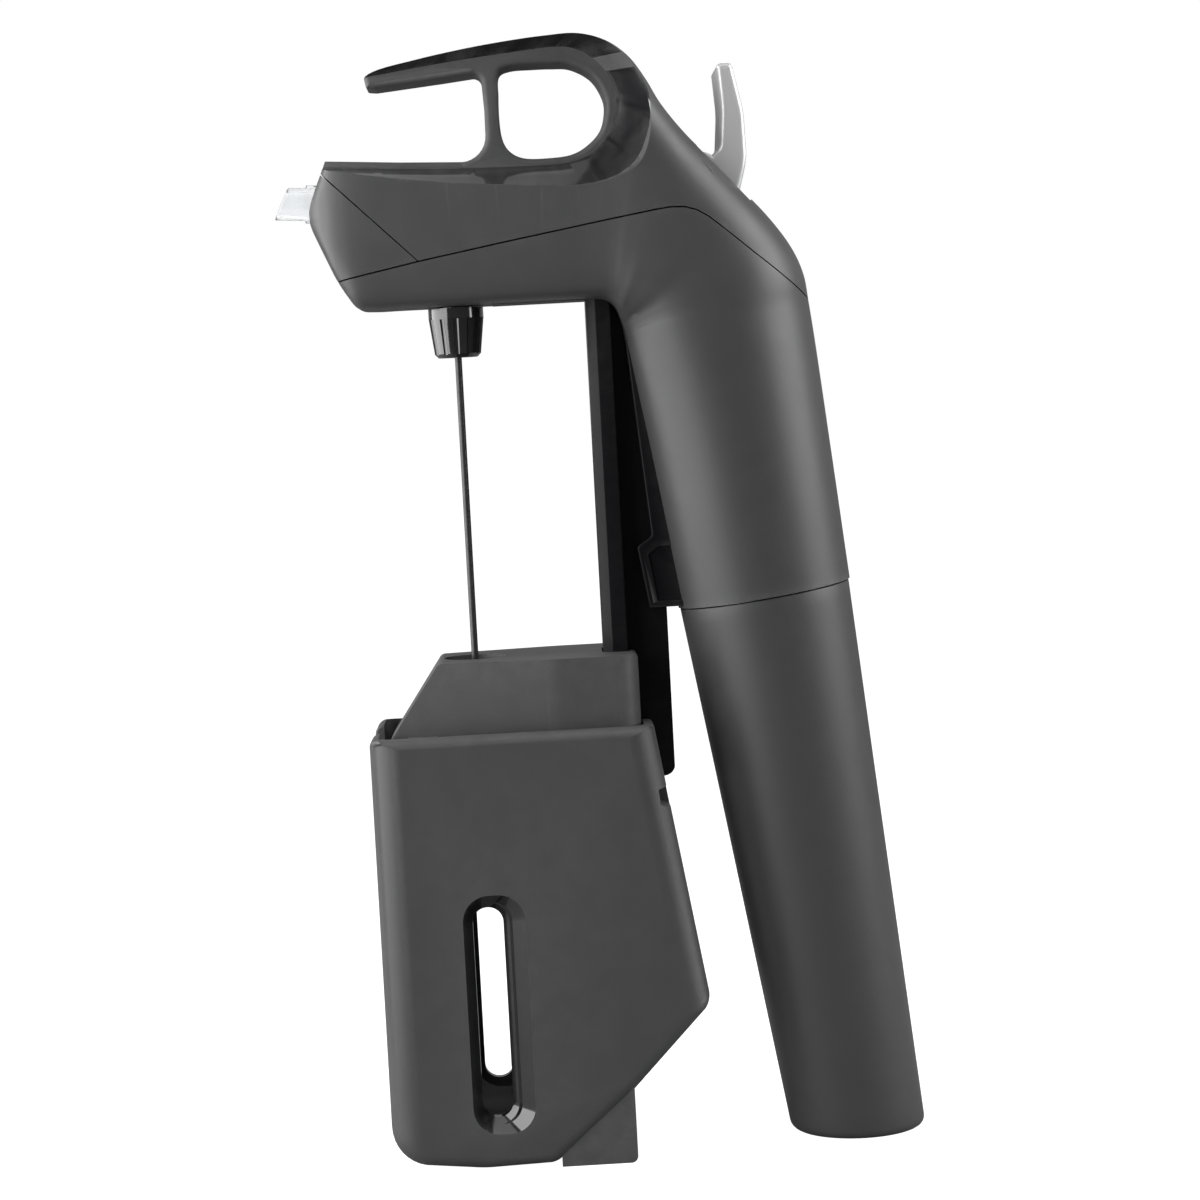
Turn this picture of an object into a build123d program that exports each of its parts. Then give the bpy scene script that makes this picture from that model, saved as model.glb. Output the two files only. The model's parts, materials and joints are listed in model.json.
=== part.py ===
from build123d import *
import math
import os

# A hand-held wine access opener: a clamp that grips the bottle's neck, a body that slides down on
# the clamp's rail, a hollow needle, a gas capsule in the tilted handle, and a trigger valve.
# Millimetres. Origin: centre of the face that the bottle's mouth stops against, on the needle's
# axis. +X towards the handle, -X towards the spout, +Z up the needle.

# ---------------------------------------------------------------- whole object
floor_z = -84.0             # standing surface
travel = 70.5               # how far the body slides down the clamp
parking_gap = 5.5           # head underside to base top at the end of the travel
slide_clearance = 0.3       # between bodies that pass each other
pin_clearance = 0.03        # radial, pins and guides in their bores
wall = 2.2                  # moulded shells

# ---------------------------------------------------------------- clamp base
base_top_z = 24.0
base_front_x = -7.6         # front edge of the top face
base_foot_x = -19.0         # front edge at the bottle-stop face
base_rear_x = 35.0
base_half_width = 18.0
base_waist_half_width = 12.6  # lower part, between the arms' hinges
waist_z = 7.5
base_corner_r = 5.0
bottle_mouth_r = 15.2       # largest bottle lip the stop pad covers
stop_pad_thickness = 2.0

# ---------------------------------------------------------------- rail
rail_front_x = 28.0
rail_flange_depth = 5.2
rail_flange_half_width = 7.0
rail_web_half_width = 3.0
rail_rear_x = 42.2
rail_bevel = 1.8
rail_end_z = -4.0

# ---------------------------------------------------------------- arms
arm_half_width = 23.5
arm_front_x = -23.1
arm_top_z = 9.3
arm_rear_top_x = 37.4
arm_rear_low_x = 46.6
arm_rear_low_z = -50.5
arm_wall = 2.0
arm_gap_half_width = 8.6    # half the open front and rear gap between the two arms
arm_edge_r = 7.0
arm_rim = 2.3               # slanted top edge
hinge_y = 18.3
hinge_z = 3.4
hinge_pin_r = 1.2
hinge_pin_length = 38.0
hinge_barrel_r = 2.6
hinge_barrel_length = 16.0
ear_relief = 0.4            # the lugs stay clear of the opened arm
hinge_spring_space = 4.5    # room for a torsion spring at each end of a barrel
hinge_mid_x = 4.0
neck_r = 14.4               # bottle neck that the pads close on
pad_reach = 7.0             # how near the symmetry plane the pads' jaws come
pad_half_length_x = 13.0
pad_top_z = -14.0
pad_bottom_z = -70.0
window_half_width = 3.25    # throat of the window
window_low_z = -73.0
window_high_z = -27.8
window_mouth_x = 1.35       # the funnel's mouth is off the throat's axis
window_mouth_half_width = 6.6
window_mouth_rise = 3.0     # how much further the mouth reaches up and down
window_funnel_depth = 3.4
window_rim = 1.3            # thickness of the bezel round the throat
heel_front_x = 13.0         # the rear foot that shows below the arm's cut-off corner
heel_rear_x = 29.2
heel_top_z = -58.0
heel_thickness = 4.0

# ---------------------------------------------------------------- needle
needle_r = 0.75             # 17 gauge
needle_bore_r = 0.5
needle_tip_z = 6.5
hub_top_r = 5.95
hub_bottom_r = 5.0
hub_height = 10.6
hub_flutes = 12
recess_clearance = 0.7
guide_r = 3.2
guide_height = 8.0
needle_stem_r = 3.0
needle_stem_height = 6.0
seal_thickness = 1.2
needle_drop = 1.6           # how far the hub backs out as it is unscrewed

# ---------------------------------------------------------------- head
head_half_width_front = 12.6
head_half_width_rear = 19.4
head_front_x = -30.2
head_top_dz = 32.0          # top of the head's front above its underside
head_top_fall = 1.4         # how much lower the head's top is at the strut
seam_gap = 0.25             # fine gap between the moulded shells
loop_top_dz = 56.4
core_half_width = 6.0       # matt grip core of the finger loop
strut_front_x = 8.6
strut_thickness = 3.6
hole_rear_x = 34.4
hole_low_dz = 30.5
hole_high_dz = 51.5
bar_tip_x = -16.8
rim_width = 2.4

# ---------------------------------------------------------------- handle
handle_tilt = 7.2           # degrees from the needle's axis
seam_x = 63.7
seam_below_head = 65.5
handle_r_top = 20.5
handle_r_seam = 18.9
cup_r_top = 18.6
cup_r_mid = 16.4
cup_r_bottom = 14.7
collar_r = 15.2             # threaded collar that the cup screws on
collar_drop = 13.0
collar_rise = 6.0
cup_wall = 1.8
bracket_half_width = 6.0

# ---------------------------------------------------------------- gas parts
capsule_r = 10.9
capsule_length = 88.0
capsule_neck_r = 4.2
capsule_neck_length = 8.0
capsule_wall = 1.6
capsule_top = -13.0         # along the handle's axis, from the seam
pierce_r = 0.9
pierce_reach = 3.0
pierce_bore_r = 1.3
regulator_r = 12.6
regulator_length = 34.0
piston_r = 8.0
spring_wire_r = 0.6
valve_x = 45.2
valve_r = 5.0
valve_low_dz = 6.2
valve_height = 11.0
stem_r = 2.0
stem_height = 10.0
tube_r = 1.5
tube_bore_r = 0.8

# ---------------------------------------------------------------- trigger
pivot_x = 53.5
pivot_dz = 24.4
pivot_pin_r = 1.5
trigger_hub_r = 5.6
trigger_half_width = 9.0
trigger_top_dz = 48.4
trigger_slot_gap = 0.5
cam_overhang = 1.5          # how far the cam reaches past the valve's stem
cam_half_width = 2.5
cam_drop = 2.9              # from the pivot's line down to the cam's face

# ---------------------------------------------------------------- spout
spout_r = 3.5
spout_root_r = 4.1          # wider length that the head holds
spout_shoulder_x = -30.9
spout_bore_r = 2.6
spout_tip_x = -37.8
spout_dz = 23.6
spout_root_x = -19.0
spout_rise = 4.0            # degrees, towards the tip

# ---------------------------------------------------------------- derived places
head_z = base_top_z + travel + parking_gap
pivot_z = head_z + pivot_dz
seam_z = head_z - seam_below_head
tilt = math.radians(handle_tilt)
cup_length = (seam_z - floor_z) / math.cos(tilt)
handle_frame = Plane(
    origin=(seam_x, 0, seam_z),
    x_dir=(math.cos(tilt), 0, math.sin(tilt)),
    z_dir=(-math.sin(tilt), 0, math.cos(tilt)),
)
recess_r = hub_top_r + recess_clearance
recess_depth = hub_height + slide_clearance + needle_drop + 1 - parking_gap
clip = 80.0                 # larger than any width or depth that is cut to an outline


# ---------------------------------------------------------------- helpers
def outline(corners):
    """A closed face from corners given as (u, v, radius)."""
    points = [(u, v) for u, v, _ in corners]
    return make_face(FilletPolyline(*points, radius=[r for _, _, r in corners], close=True))


def slab(face, y_low, y_high):
    """A side outline in XZ, given thickness from y_low to y_high."""
    return extrude(Plane.XZ.offset(-y_high) * face, amount=y_high - y_low)


def prism(face, z_low, z_high):
    """A plan outline in XY, given height from z_low to z_high."""
    return extrude(Plane.XY.offset(z_low) * face, amount=z_high - z_low)


def rod(start, end, radius):
    """A round bar from start to end."""
    axis = Vector(*end) - Vector(*start)
    base = Cylinder(radius, axis.length, align=(Align.CENTER, Align.CENTER, Align.MIN))
    return Plane(origin=start, z_dir=axis.normalized()) * base


def pipe(start, end, radius, bore):
    """A round tube from start to end."""
    return rod(start, end, radius) - rod(start, end, bore)


def block(x, y, z):
    """A box from three (low, high) pairs."""
    size = [high - low for low, high in (x, y, z)]
    middle = [(high + low) / 2 for low, high in (x, y, z)]
    return Pos(*middle) * Box(*size)


def turned(points):
    """A solid turned about the local Z axis from an outline of (radius, z) corners."""
    return revolve(Plane.XZ * make_face(Polyline(*points, close=True)), Axis.Z)


def coil(radius, wire, turns, height):
    """A compression spring about the local Z axis, from z = 0."""
    path = Helix(pitch=height / turns, height=height, radius=radius)
    section = Plane(origin=path @ 0, z_dir=path % 0) * Circle(wire)
    return sweep(section, path=path)


def mirrored(shape):
    """The same piece on the other side of the symmetry plane."""
    return mirror(shape, about=Plane.XZ)


def both_sides(shape):
    """A piece and its mirror image."""
    return shape + mirrored(shape)


# ---------------------------------------------------------------- clamp base
def rail_section(gap):
    """The rail's T section in plan, grown by gap for the channel that it runs in."""
    front = rail_front_x - gap
    shoulder = rail_front_x + rail_flange_depth + gap
    rear = rail_rear_x + gap
    flange = rail_flange_half_width + gap
    web = rail_web_half_width + gap
    half = [
        (front, flange - rail_bevel),
        (front + rail_bevel, flange),
        (shoulder, flange),
        (shoulder, web),
        (rear, web),
    ]
    other = [(x, -y) for x, y in reversed(half)]
    return make_face(Polyline(*half, *other, close=True))


def base_side():
    """Side outline of the base: a wedge with a sloping front."""
    return outline([
        (base_front_x, base_top_z, 1.5),
        (base_rear_x, base_top_z, 1.0),
        (base_rear_x, 0, 0),
        (base_foot_x, 0, 0),
        (base_foot_x, waist_z, 0),
    ])


def base_plan():
    """Plan outline of the base, narrower towards the spout."""
    front_half_width = base_half_width * 0.62
    return outline([
        (base_foot_x - 2, -front_half_width, base_corner_r),
        (base_rear_x * 0.5, -base_half_width, 30),
        (base_rear_x, -base_half_width, base_corner_r),
        (base_rear_x, base_half_width, base_corner_r),
        (base_rear_x * 0.5, base_half_width, 30),
        (base_foot_x - 2, front_half_width, base_corner_r),
    ])


def hinge_ear(x_low, x_high):
    """A lug on the base that holds one end of an arm's hinge pin."""
    reach = (0, hinge_y + hinge_barrel_r - ear_relief)
    lug = block((x_low, x_high), reach, (hinge_z - hinge_barrel_r + 0.6, waist_z + 1))
    return both_sides(lug - hinge_bore(pin_clearance))


def hinge_bore(gap):
    """The space of a hinge pin, grown by gap."""
    half = hinge_pin_length / 2
    start = (hinge_mid_x - half, hinge_y, hinge_z)
    end = (hinge_mid_x + half, hinge_y, hinge_z)
    return rod(start, end, hinge_pin_r + gap)


def ear_spans():
    """Where the four lugs stand along X: just outside the arms' barrels."""
    inner = hinge_barrel_length / 2 + hinge_spring_space
    outer = hinge_pin_length / 2
    return (
        (hinge_mid_x - outer, hinge_mid_x - inner),
        (hinge_mid_x + inner, hinge_mid_x + outer),
    )


def base_block():
    """The moulded block that the arms hang on and the rail runs through."""
    body = slab(base_side(), -clip, clip) & prism(base_plan(), 0, base_top_z)
    for side in (1, -1):
        y = sorted((side * base_waist_half_width, side * clip))
        body -= block((-clip, clip), y, (0, waist_z))
    for span in ear_spans():
        body += hinge_ear(*span)
    body -= prism(rail_section(slide_clearance), -1, base_top_z + 1)
    body -= rod((0, 0, base_top_z - recess_depth), (0, 0, base_top_z), recess_r)
    body -= rod((0, 0, 0), (0, 0, base_top_z), guide_r)
    body -= rod((0, 0, 0), (0, 0, stop_pad_thickness), bottle_mouth_r)
    for x in (base_foot_x + 7, rail_front_x - 8):
        body -= both_sides(rod((x, 8, 0), (x, 8, screw_length()), 1.3))
    return body


def screw_length():
    """Length of the base screws, which stay below the waist."""
    return waist_z


def needle_guide():
    """Bushing that steadies the needle above the cork."""
    top = base_top_z - recess_depth
    return pipe((0, 0, top - guide_height), (0, 0, top), guide_r, needle_r + pin_clearance)


def stop_pad():
    """Soft ring that meets the bottle's lip; its underside is the origin face."""
    return pipe((0, 0, 0), (0, 0, stop_pad_thickness), bottle_mouth_r, guide_r)


def base_screws():
    """Four screws driven up into the base."""
    screws = []
    for x in (base_foot_x + 7, rail_front_x - 8):
        for y in (8, -8):
            shank = rod((x, y, stop_pad_thickness), (x, y, screw_length()), 1.3)
            screws.append(shank)
    return Compound(screws)


def hinge_pin():
    """Steel pin that an arm swings on."""
    return hinge_bore(0)


def arm_spring():
    """The two torsion springs on a hinge pin, one at each end of the arm's barrel."""
    wire = 0.3
    gap = 0.5
    spring = coil(hinge_pin_r + wire + 0.2, wire, 5, hinge_spring_space - 2 * gap)
    start = hinge_barrel_length / 2 + gap
    front = Plane(origin=(hinge_mid_x - start, hinge_y, hinge_z), z_dir=(-1, 0, 0))
    rear = Plane(origin=(hinge_mid_x + start, hinge_y, hinge_z), z_dir=(1, 0, 0))
    return front * spring + rear * spring


def rail_bushing():
    """Two slide strips in the base that the rail's flange rubs on."""
    x = (rail_front_x + rail_bevel, rail_front_x + rail_flange_depth)
    inner = rail_flange_half_width + 0.05
    y = (inner, rail_flange_half_width + slide_clearance)
    return both_sides(block(x, y, (4, base_top_z - 4)))


# ---------------------------------------------------------------- arms
def rear_x(z):
    """Where the arm's leaning rear edge stands at height z."""
    slope = (arm_rear_low_x - arm_rear_top_x) / (arm_rear_low_z - arm_top_z)
    return arm_rear_top_x + slope * (z - arm_top_z)


def arm_side(top_z):
    """Side outline of an arm: upright front, rear that leans out, lower rear corner cut off."""
    return outline([
        (arm_front_x, top_z, 2),
        (rear_x(top_z), top_z, 1),
        (arm_rear_low_x, arm_rear_low_z, 4),
        (29.5, floor_z + 16, 14),
        (12, floor_z + 1.0, 4),
        (-4, floor_z + 0.6, 30),
        (arm_front_x, floor_z + 2.6, 8),
    ])


def window(grow):
    """The window's throat, a long slot through an arm, grown all round."""
    half = window_half_width + grow
    low, high = window_low_z - grow, window_high_z + grow
    round_end = half - 0.05
    return outline([(-half, low, round_end), (half, low, round_end),
                    (half, high, round_end), (-half, high, round_end)])


def window_mouth():
    """The wider mouth of the window's funnel, in the arm's side face."""
    left = window_mouth_x - window_mouth_half_width
    right = window_mouth_x + window_mouth_half_width
    low, high = window_low_z - window_mouth_rise, window_high_z + window_mouth_rise
    corner = window_mouth_half_width - 1
    return outline([(left, low, corner), (right, low, corner), (right, high, corner), (left, high, corner)])


def front_round():
    """Plan outline that rounds the arm's upright front corner."""
    far = arm_rear_low_x + arm_edge_r
    return outline([
        (arm_front_x, -arm_half_width, arm_edge_r),
        (far, -arm_half_width, 0),
        (far, arm_half_width, 0),
        (arm_front_x, arm_half_width, arm_edge_r),
    ])


def rear_round():
    """A bar whose rounded outer corner runs along the arm's leaning rear edge."""
    lean = Vector(rear_x(arm_rear_low_z) - rear_x(0), 0, arm_rear_low_z).normalized()
    plane = Plane(origin=(rear_x(0), 0, 0), x_dir=(-lean.Z, 0, lean.X), z_dir=lean)
    section = outline([
        (-clip, -arm_half_width, 0),
        (0, -arm_half_width, arm_edge_r),
        (0, arm_half_width, arm_edge_r),
        (-clip, arm_half_width, 0),
    ])
    return extrude(plane * section, amount=2 * clip, both=True)


def arm_rim_cut():
    """Removes the corner above the arm's slanted rim."""
    corner = Plane.YZ * outline([
        (arm_half_width - arm_rim, arm_top_z, 0),
        (arm_half_width + arm_rim, arm_top_z - 2 * arm_rim, 0),
        (arm_half_width + arm_rim, arm_top_z + 1, 0),
        (arm_half_width - arm_rim, arm_top_z + 1, 0),
    ])
    return extrude(corner, amount=clip, both=True)


def arm_solid():
    """The +Y arm before it is hollowed."""
    form = slab(arm_side(arm_top_z), arm_gap_half_width, arm_half_width)
    form = form & prism(front_round(), -2 * clip, clip)
    return (form & rear_round()) - arm_rim_cut()


def arm_shell():
    """The moulded arm with its hinge barrel, open towards the bottle's neck."""
    inner_y = arm_half_width - arm_wall
    hollow = slab(offset(arm_side(arm_top_z + clip / 4), -arm_wall), 0, inner_y)
    shell = arm_solid() - hollow
    shell -= rod((0, 0, floor_z), (0, 0, 0), neck_r + slide_clearance)
    shell -= slab(window_mouth(), inner_y - 1, clip)
    shell -= heel()
    return shell + hinge_barrel()


def hinge_barrel():
    """The arm's bored barrel and the web that ties it to the arm's wall."""
    low = hinge_mid_x - hinge_barrel_length / 2
    high = hinge_mid_x + hinge_barrel_length / 2
    barrel = rod((low, hinge_y, hinge_z), (high, hinge_y, hinge_z), hinge_barrel_r)
    web_y = (hinge_y, arm_half_width - arm_wall / 2)
    web = block((low, high), web_y, (hinge_z - 1.5, hinge_z + 1.5))
    return barrel + web - hinge_bore(pin_clearance)


def window_bezel():
    """The glossy funnel-shaped frame that lines the arm's window."""
    face_y = arm_half_width
    throat_y = face_y - window_funnel_depth
    mouth = Plane.XZ.offset(-face_y) * window_mouth()
    throat = Plane.XZ.offset(-throat_y) * window(0)
    funnel = loft([mouth, throat], ruled=True)
    frame = slab(window_mouth(), face_y - arm_wall, face_y)
    frame += slab(window(window_rim), throat_y - arm_wall, face_y - arm_wall)
    return frame - funnel - slab(window(0), 0, clip)


def neck_pad():
    """Soft jaw liner that closes on the neck, with the arm's window through it."""
    x = (-pad_half_length_x, pad_half_length_x)
    y = (pad_reach, arm_half_width - arm_wall)
    pad = block(x, y, (pad_bottom_z, pad_top_z))
    pad -= rod((0, 0, pad_bottom_z), (0, 0, pad_top_z), neck_r)
    pad -= slab(window(window_rim), 0, clip)
    return pad


def heel():
    """The rear foot of an arm, inside its cut-off corner, which stands on the floor."""
    outer_y = arm_half_width - arm_wall / 2
    side = outline([
        (heel_front_x, heel_top_z, 0),
        (heel_rear_x, heel_top_z, 0),
        (heel_rear_x, floor_z, 1.5),
        (heel_front_x, floor_z, 0),
    ])
    return slab(side, outer_y - heel_thickness, outer_y)


# ---------------------------------------------------------------- handle and head envelope
def handle_form(inset):
    """The handle's round form about its own axis, carried up through the head."""
    top = 2 * clip
    low_r, mid_r, top_r = (r - inset for r in (handle_r_seam, handle_r_top - 0.35, handle_r_top))
    bulge = Spline((low_r, 0), (mid_r, 30), (top_r, 60), tangents=[(0.06, 1), (0, 1)])
    sides = Polyline((top_r, 60), (top_r, top), (0, top), (0, 0), (low_r, 0))
    return handle_frame * revolve(Plane.XZ * make_face([bulge, *sides.edges()]), Axis.Z)


def head_plan(inset):
    """Plan outline of the head: a wedge that widens from the spout to the handle."""
    front_x = head_front_x - 2 + inset
    rear_x_ = seam_x - 14
    front = head_half_width_front - inset
    rear = head_half_width_rear - inset
    return outline([(front_x, -front, 0), (rear_x_, -rear, 0), (rear_x_, rear, 0), (front_x, front, 0)])


def plan_form(inset):
    """Everything that the head and handle may fill, seen from above."""
    wedge = prism(head_plan(inset), head_z - 6, head_z + clip)
    return wedge + handle_form(inset)


def handle_front_x(dz):
    """Front edge of the handle, dz above the head's underside."""
    along = (dz + seam_below_head) / math.cos(tilt)
    radius = handle_r_seam + (handle_r_top - handle_r_seam) * along / 60
    return seam_x - (dz + seam_below_head) * math.tan(tilt) - radius / math.cos(tilt) + 0.1


def rear_corners():
    """The head's rear slope, from the finger loop down to the handle."""
    return [
        (66, 18.6, 30),
        (74.4, 8.0, 10),
        (77.2, -4.0, 0),
        (92, -seam_below_head - 5, 0),
    ]


def front_corners():
    """The handle's front, the inner corner, the underside and the nose."""
    low = -seam_below_head - 5
    return [
        (handle_front_x(low), low, 0),
        (handle_front_x(0), 0, 5),
        (head_front_x + 9.0, 0, 3),
        (head_front_x - 0.4, 20.0, 3),
    ]


def raised(corners):
    """Corners given above the head's underside, moved to their height."""
    return outline([(x, dz + head_z, r) for x, dz, r in corners])


def head_outline():
    """Side outline of head and handle without the finger loop."""
    strut_dz = head_top_dz - head_top_fall
    top = [(-25.2, head_top_dz, 0.6), (strut_front_x, strut_dz, 0), (44, strut_dz, 0), (45.2, 42.6, 0)]
    return raised(front_corners() + top + rear_corners())


def loop_outline():
    """Side outline of the finger loop and its front bar, filled in."""
    return raised([
        (bar_tip_x, 48.4, 0.8),
        (bar_tip_x + 1.6, 50.1, 0.8),
        (10, 54.5, 60),
        (28, loop_top_dz + 0.6, 14),
        (40.6, 53.6, 9),
        (45.2, 42.6, 16),
        (60, 26.7, 0),
        (40, 24, 0),
        (strut_front_x - 3.0, head_top_dz - 3, 0),
        (strut_front_x - 3.0, 49.4, 0),
        (bar_tip_x + 0.9, 47.4, 0.8),
    ])


def core_outline():
    """Side outline of the part of head and handle that is hollow."""
    top = [(-27.0, 29.5, 1), (0, 26.4, 20), (25, 22.8, 8), (34, 22.8, 8), (46, 35.0, 3), (50.4, 34.9, 1)]
    return raised(front_corners() + top + rear_corners())


def finger_hole():
    """The D-shaped hole behind the strut."""
    x0 = strut_front_x + strut_thickness
    middle = (hole_low_dz + hole_high_dz) / 2
    half = (hole_high_dz - hole_low_dz) / 2
    return raised([
        (x0, hole_low_dz, 2.5),
        (hole_rear_x, middle - half, half - 0.1),
        (hole_rear_x, middle + half, half - 0.1),
        (x0, hole_high_dz, 2.5),
    ])


def front_gap():
    """The open finger gap in front of the strut."""
    strut_dz = head_top_dz - head_top_fall
    return raised([
        (-60, head_top_dz, 0),
        (-25.2, head_top_dz, 0),
        (strut_front_x, strut_dz, 4),
        (strut_front_x, 49.5, 3),
        (bar_tip_x + 0.9, 47.4, 0),
        (-60, 40.0, 0),
    ])


def rim_line():
    """Inner edge of the loop's bevel, on the side of its grip core."""
    return raised([
        (-45, head_top_dz - 0.4, 0), (0, head_top_dz - 1.6, 10), (22, hole_low_dz - 1.4, 10),
        (31, hole_low_dz + 0.6, 8), (hole_rear_x + rim_width, 39, 8), (36.4, 45.4, 8),
        (30, 53.0, 8), (10, 52.8, 20), (-14, 49.3, 0), (-45, 46, 0),
    ])


def bevel_line():
    """Outer edge of the loop's bevel, carried out past the head's sides."""
    return raised([
        (-45, 25.6, 0), (-6, 23.6, 10), (23, 23.0, 10),
        (34, 24.2, 8), (45.2, 35.5, 8), (45.2, 54, 8),
        (34, 70.0, 8), (10, 70, 20), (-14, 64, 0), (-45, 58, 0),
    ])


def loop_pocket():
    """What is cut from the +Y side so that the head narrows to the loop's core."""
    inner = Plane.XZ.offset(-core_half_width) * rim_line()
    outer = Plane.XZ.offset(-clip / 4) * bevel_line()
    return loft([inner, outer], ruled=True)


def full_head():
    """Head, handle and finger loop as one solid form."""
    form = slab(head_outline(), -clip, clip) + slab(loop_outline(), -clip, clip)
    form = form & plan_form(0)
    form -= both_sides(loop_pocket())
    return form - slab(finger_hole(), -clip, clip) - slab(front_gap(), -clip, clip)


def head_cavity():
    """The hollow that head and handle share."""
    return slab(offset(core_outline(), -wall), -clip, clip) & plan_form(wall)


# ---------------------------------------------------------------- moulded shells of the body
def lower_region(gap):
    """Side outline of everything under the long seam, grown by gap."""
    return raised([
        (-60, -0.8 + gap, 0),
        (-6.8, 9.5 + gap, 0),
        (43.2, 17.3 + gap, 0),
        (50.3, 18.4 + gap, 9),
        (76.6, -2.3 + gap, 0),
        (110, -28.6 + gap, 0),
        (110, -2 * seam_below_head, 0),
        (-60, -2 * seam_below_head, 0),
    ])


def nose_region(gap):
    """Side outline of the nose cover, grown by gap."""
    return raised([(-6.8 + gap, 9.5, 0), (-60, 62.7 + gap, 0), (-60, -0.8, 0)])


def trim_region():
    """Side outline of the glossy bevel round the loop."""
    return raised([
        (-45, 28.0, 0), (-6, 25.6, 10), (23.5, 23.5, 10), (33.6, 24.8, 8),
        (44.8, 36.0, 6), (45.0, 48, 0), (50, 90, 0), (-45, 90, 0),
    ])


def grip_core():
    """The matt core: bar, strut and the rim of the finger hole."""
    return slab(rim_line(), -core_half_width, core_half_width)


def handle_shell(form):
    """Lower half of the head with the upper handle tube."""
    shell = (form - head_cavity()) & slab(lower_region(0), -clip, clip)
    shell -= prism(rail_section(0), rail_end_z, head_z + wall)
    socket = needle_stem_r + wall
    shell -= rod((0, 0, head_z - 1), (0, 0, head_z + wall), socket)
    return shell - root_plate() - collar()


def top_cover(form):
    """Upper cover of the head, with the trigger's slot."""
    shell = form - head_cavity() - slab(lower_region(seam_gap), -clip, clip)
    shell -= slab(nose_region(seam_gap), -clip, clip)
    shell -= slab(trim_region(), -clip, clip)
    shell -= spout_bar(spout_root_r + pin_clearance)
    return shell - trigger_slot()


def nose_cover(form):
    """Front cover around the spout."""
    shell = form - head_cavity() - slab(lower_region(seam_gap), -clip, clip)
    shell = shell & slab(nose_region(0), -clip, clip)
    return shell - spout_bar(spout_root_r + pin_clearance)


def loop_trim(form):
    """Glossy bevelled frame of the finger loop."""
    frame = form & slab(trim_region(), -clip, clip)
    frame = frame - head_cavity() - grip_core() - slab(nose_region(seam_gap), -clip, clip)
    return frame - spout_bar(spout_root_r + pin_clearance)


def finger_grip(form):
    """The matt finger grip inside the glossy frame."""
    return form & grip_core()


def root_plate():
    """Dark plate let into the head's underside in front of the rail."""
    x = (rail_front_x - 20, rail_front_x)
    return block(x, (-rail_flange_half_width - 1, rail_flange_half_width + 1), (head_z - 0.1, head_z + 1.2))


def rail():
    """T-shaped rail that the body slides down on."""
    top = head_z + wall
    beam = prism(rail_section(0), rail_end_z, top)
    tail = slab(outline([
        (rail_front_x - 1, rail_end_z, 0),
        (rail_rear_x, rail_end_z, 2.5),
        (rail_rear_x, top, 0),
        (rail_front_x - 1, top, 0),
    ]), -clip, clip)
    return (beam & tail) - rail_screw_bars(1.2)


def rail_screw_bars(radius):
    """Shanks of the two screws that hold the rail, driven down from inside the head."""
    x = rail_front_x + rail_flange_depth / 2
    low, high = head_z - 4, head_z + 2 * wall
    return both_sides(rod((x, rail_web_half_width, low), (x, rail_web_half_width, high), radius))


def rail_anchor():
    """Metal plate inside the head that the rail is screwed to."""
    x = (rail_front_x - 4, valve_x - valve_r - 1)
    plate = block(x, (-9, 9), (head_z + wall, head_z + 2 * wall))
    return plate - rail_screw_bars(1.2)


def rail_screws():
    """The rail's two screws, heads up."""
    x = rail_front_x + rail_flange_depth / 2
    top = head_z + 2 * wall
    heads = both_sides(rod((x, rail_web_half_width, top), (x, rail_web_half_width, top + 1.4), 2.1))
    return rail_screw_bars(1.2) + heads


def handle_bracket():
    """Black stiffener down the handle's front, ending in a forward lip."""
    lip = 4.8
    top, knee, low = -9, -51.5, -67.0
    side = raised([
        (handle_front_x(top) + 2, top, 0),
        (handle_front_x(top) - 0.3, top, 0),
        (handle_front_x(knee) - 1.7, knee, 0),
        (handle_front_x(knee - 2) - lip, knee - 2, 1),
        (handle_front_x(low) - lip, low, 0),
        (handle_front_x(low) + 6, low, 0),
    ])
    strip = slab(side, -bracket_half_width, bracket_half_width)
    strip -= handle_form(0)
    return strip - prism(rail_section(0), rail_end_z, head_z)


# ---------------------------------------------------------------- wine and gas path in the head
def spout_bar(radius, tip_x=spout_tip_x - 4):
    """The spout's line from its root to tip_x, with the given radius."""
    rise = math.tan(math.radians(spout_rise))
    root_z = head_z + spout_dz - rise * (spout_root_x - head_front_x)
    tip_z = root_z + rise * (spout_root_x - tip_x)
    return rod((spout_root_x, 0, root_z), (tip_x, 0, tip_z), radius)


def spout():
    """Clear pouring spout, cut slanting at its mouth."""
    tube = spout_bar(spout_r) + spout_bar(spout_root_r, spout_shoulder_x)
    tube -= spout_bar(spout_bore_r)
    z = head_z + spout_dz
    mouth = outline([
        (spout_tip_x - 8, z - 5, 0),
        (spout_tip_x - 0.8, z - 5, 0),
        (spout_tip_x + 4.0, z + 5, 0),
        (spout_tip_x - 8, z + 8, 0),
    ])
    return tube - slab(mouth, -clip, clip)


def stem_socket():
    """The bore in the manifold that the needle's stem and seal screw into."""
    top = head_z + needle_stem_height + seal_thickness + 0.3
    return rod((0, 0, head_z), (0, 0, top), needle_stem_r + pin_clearance)


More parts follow.
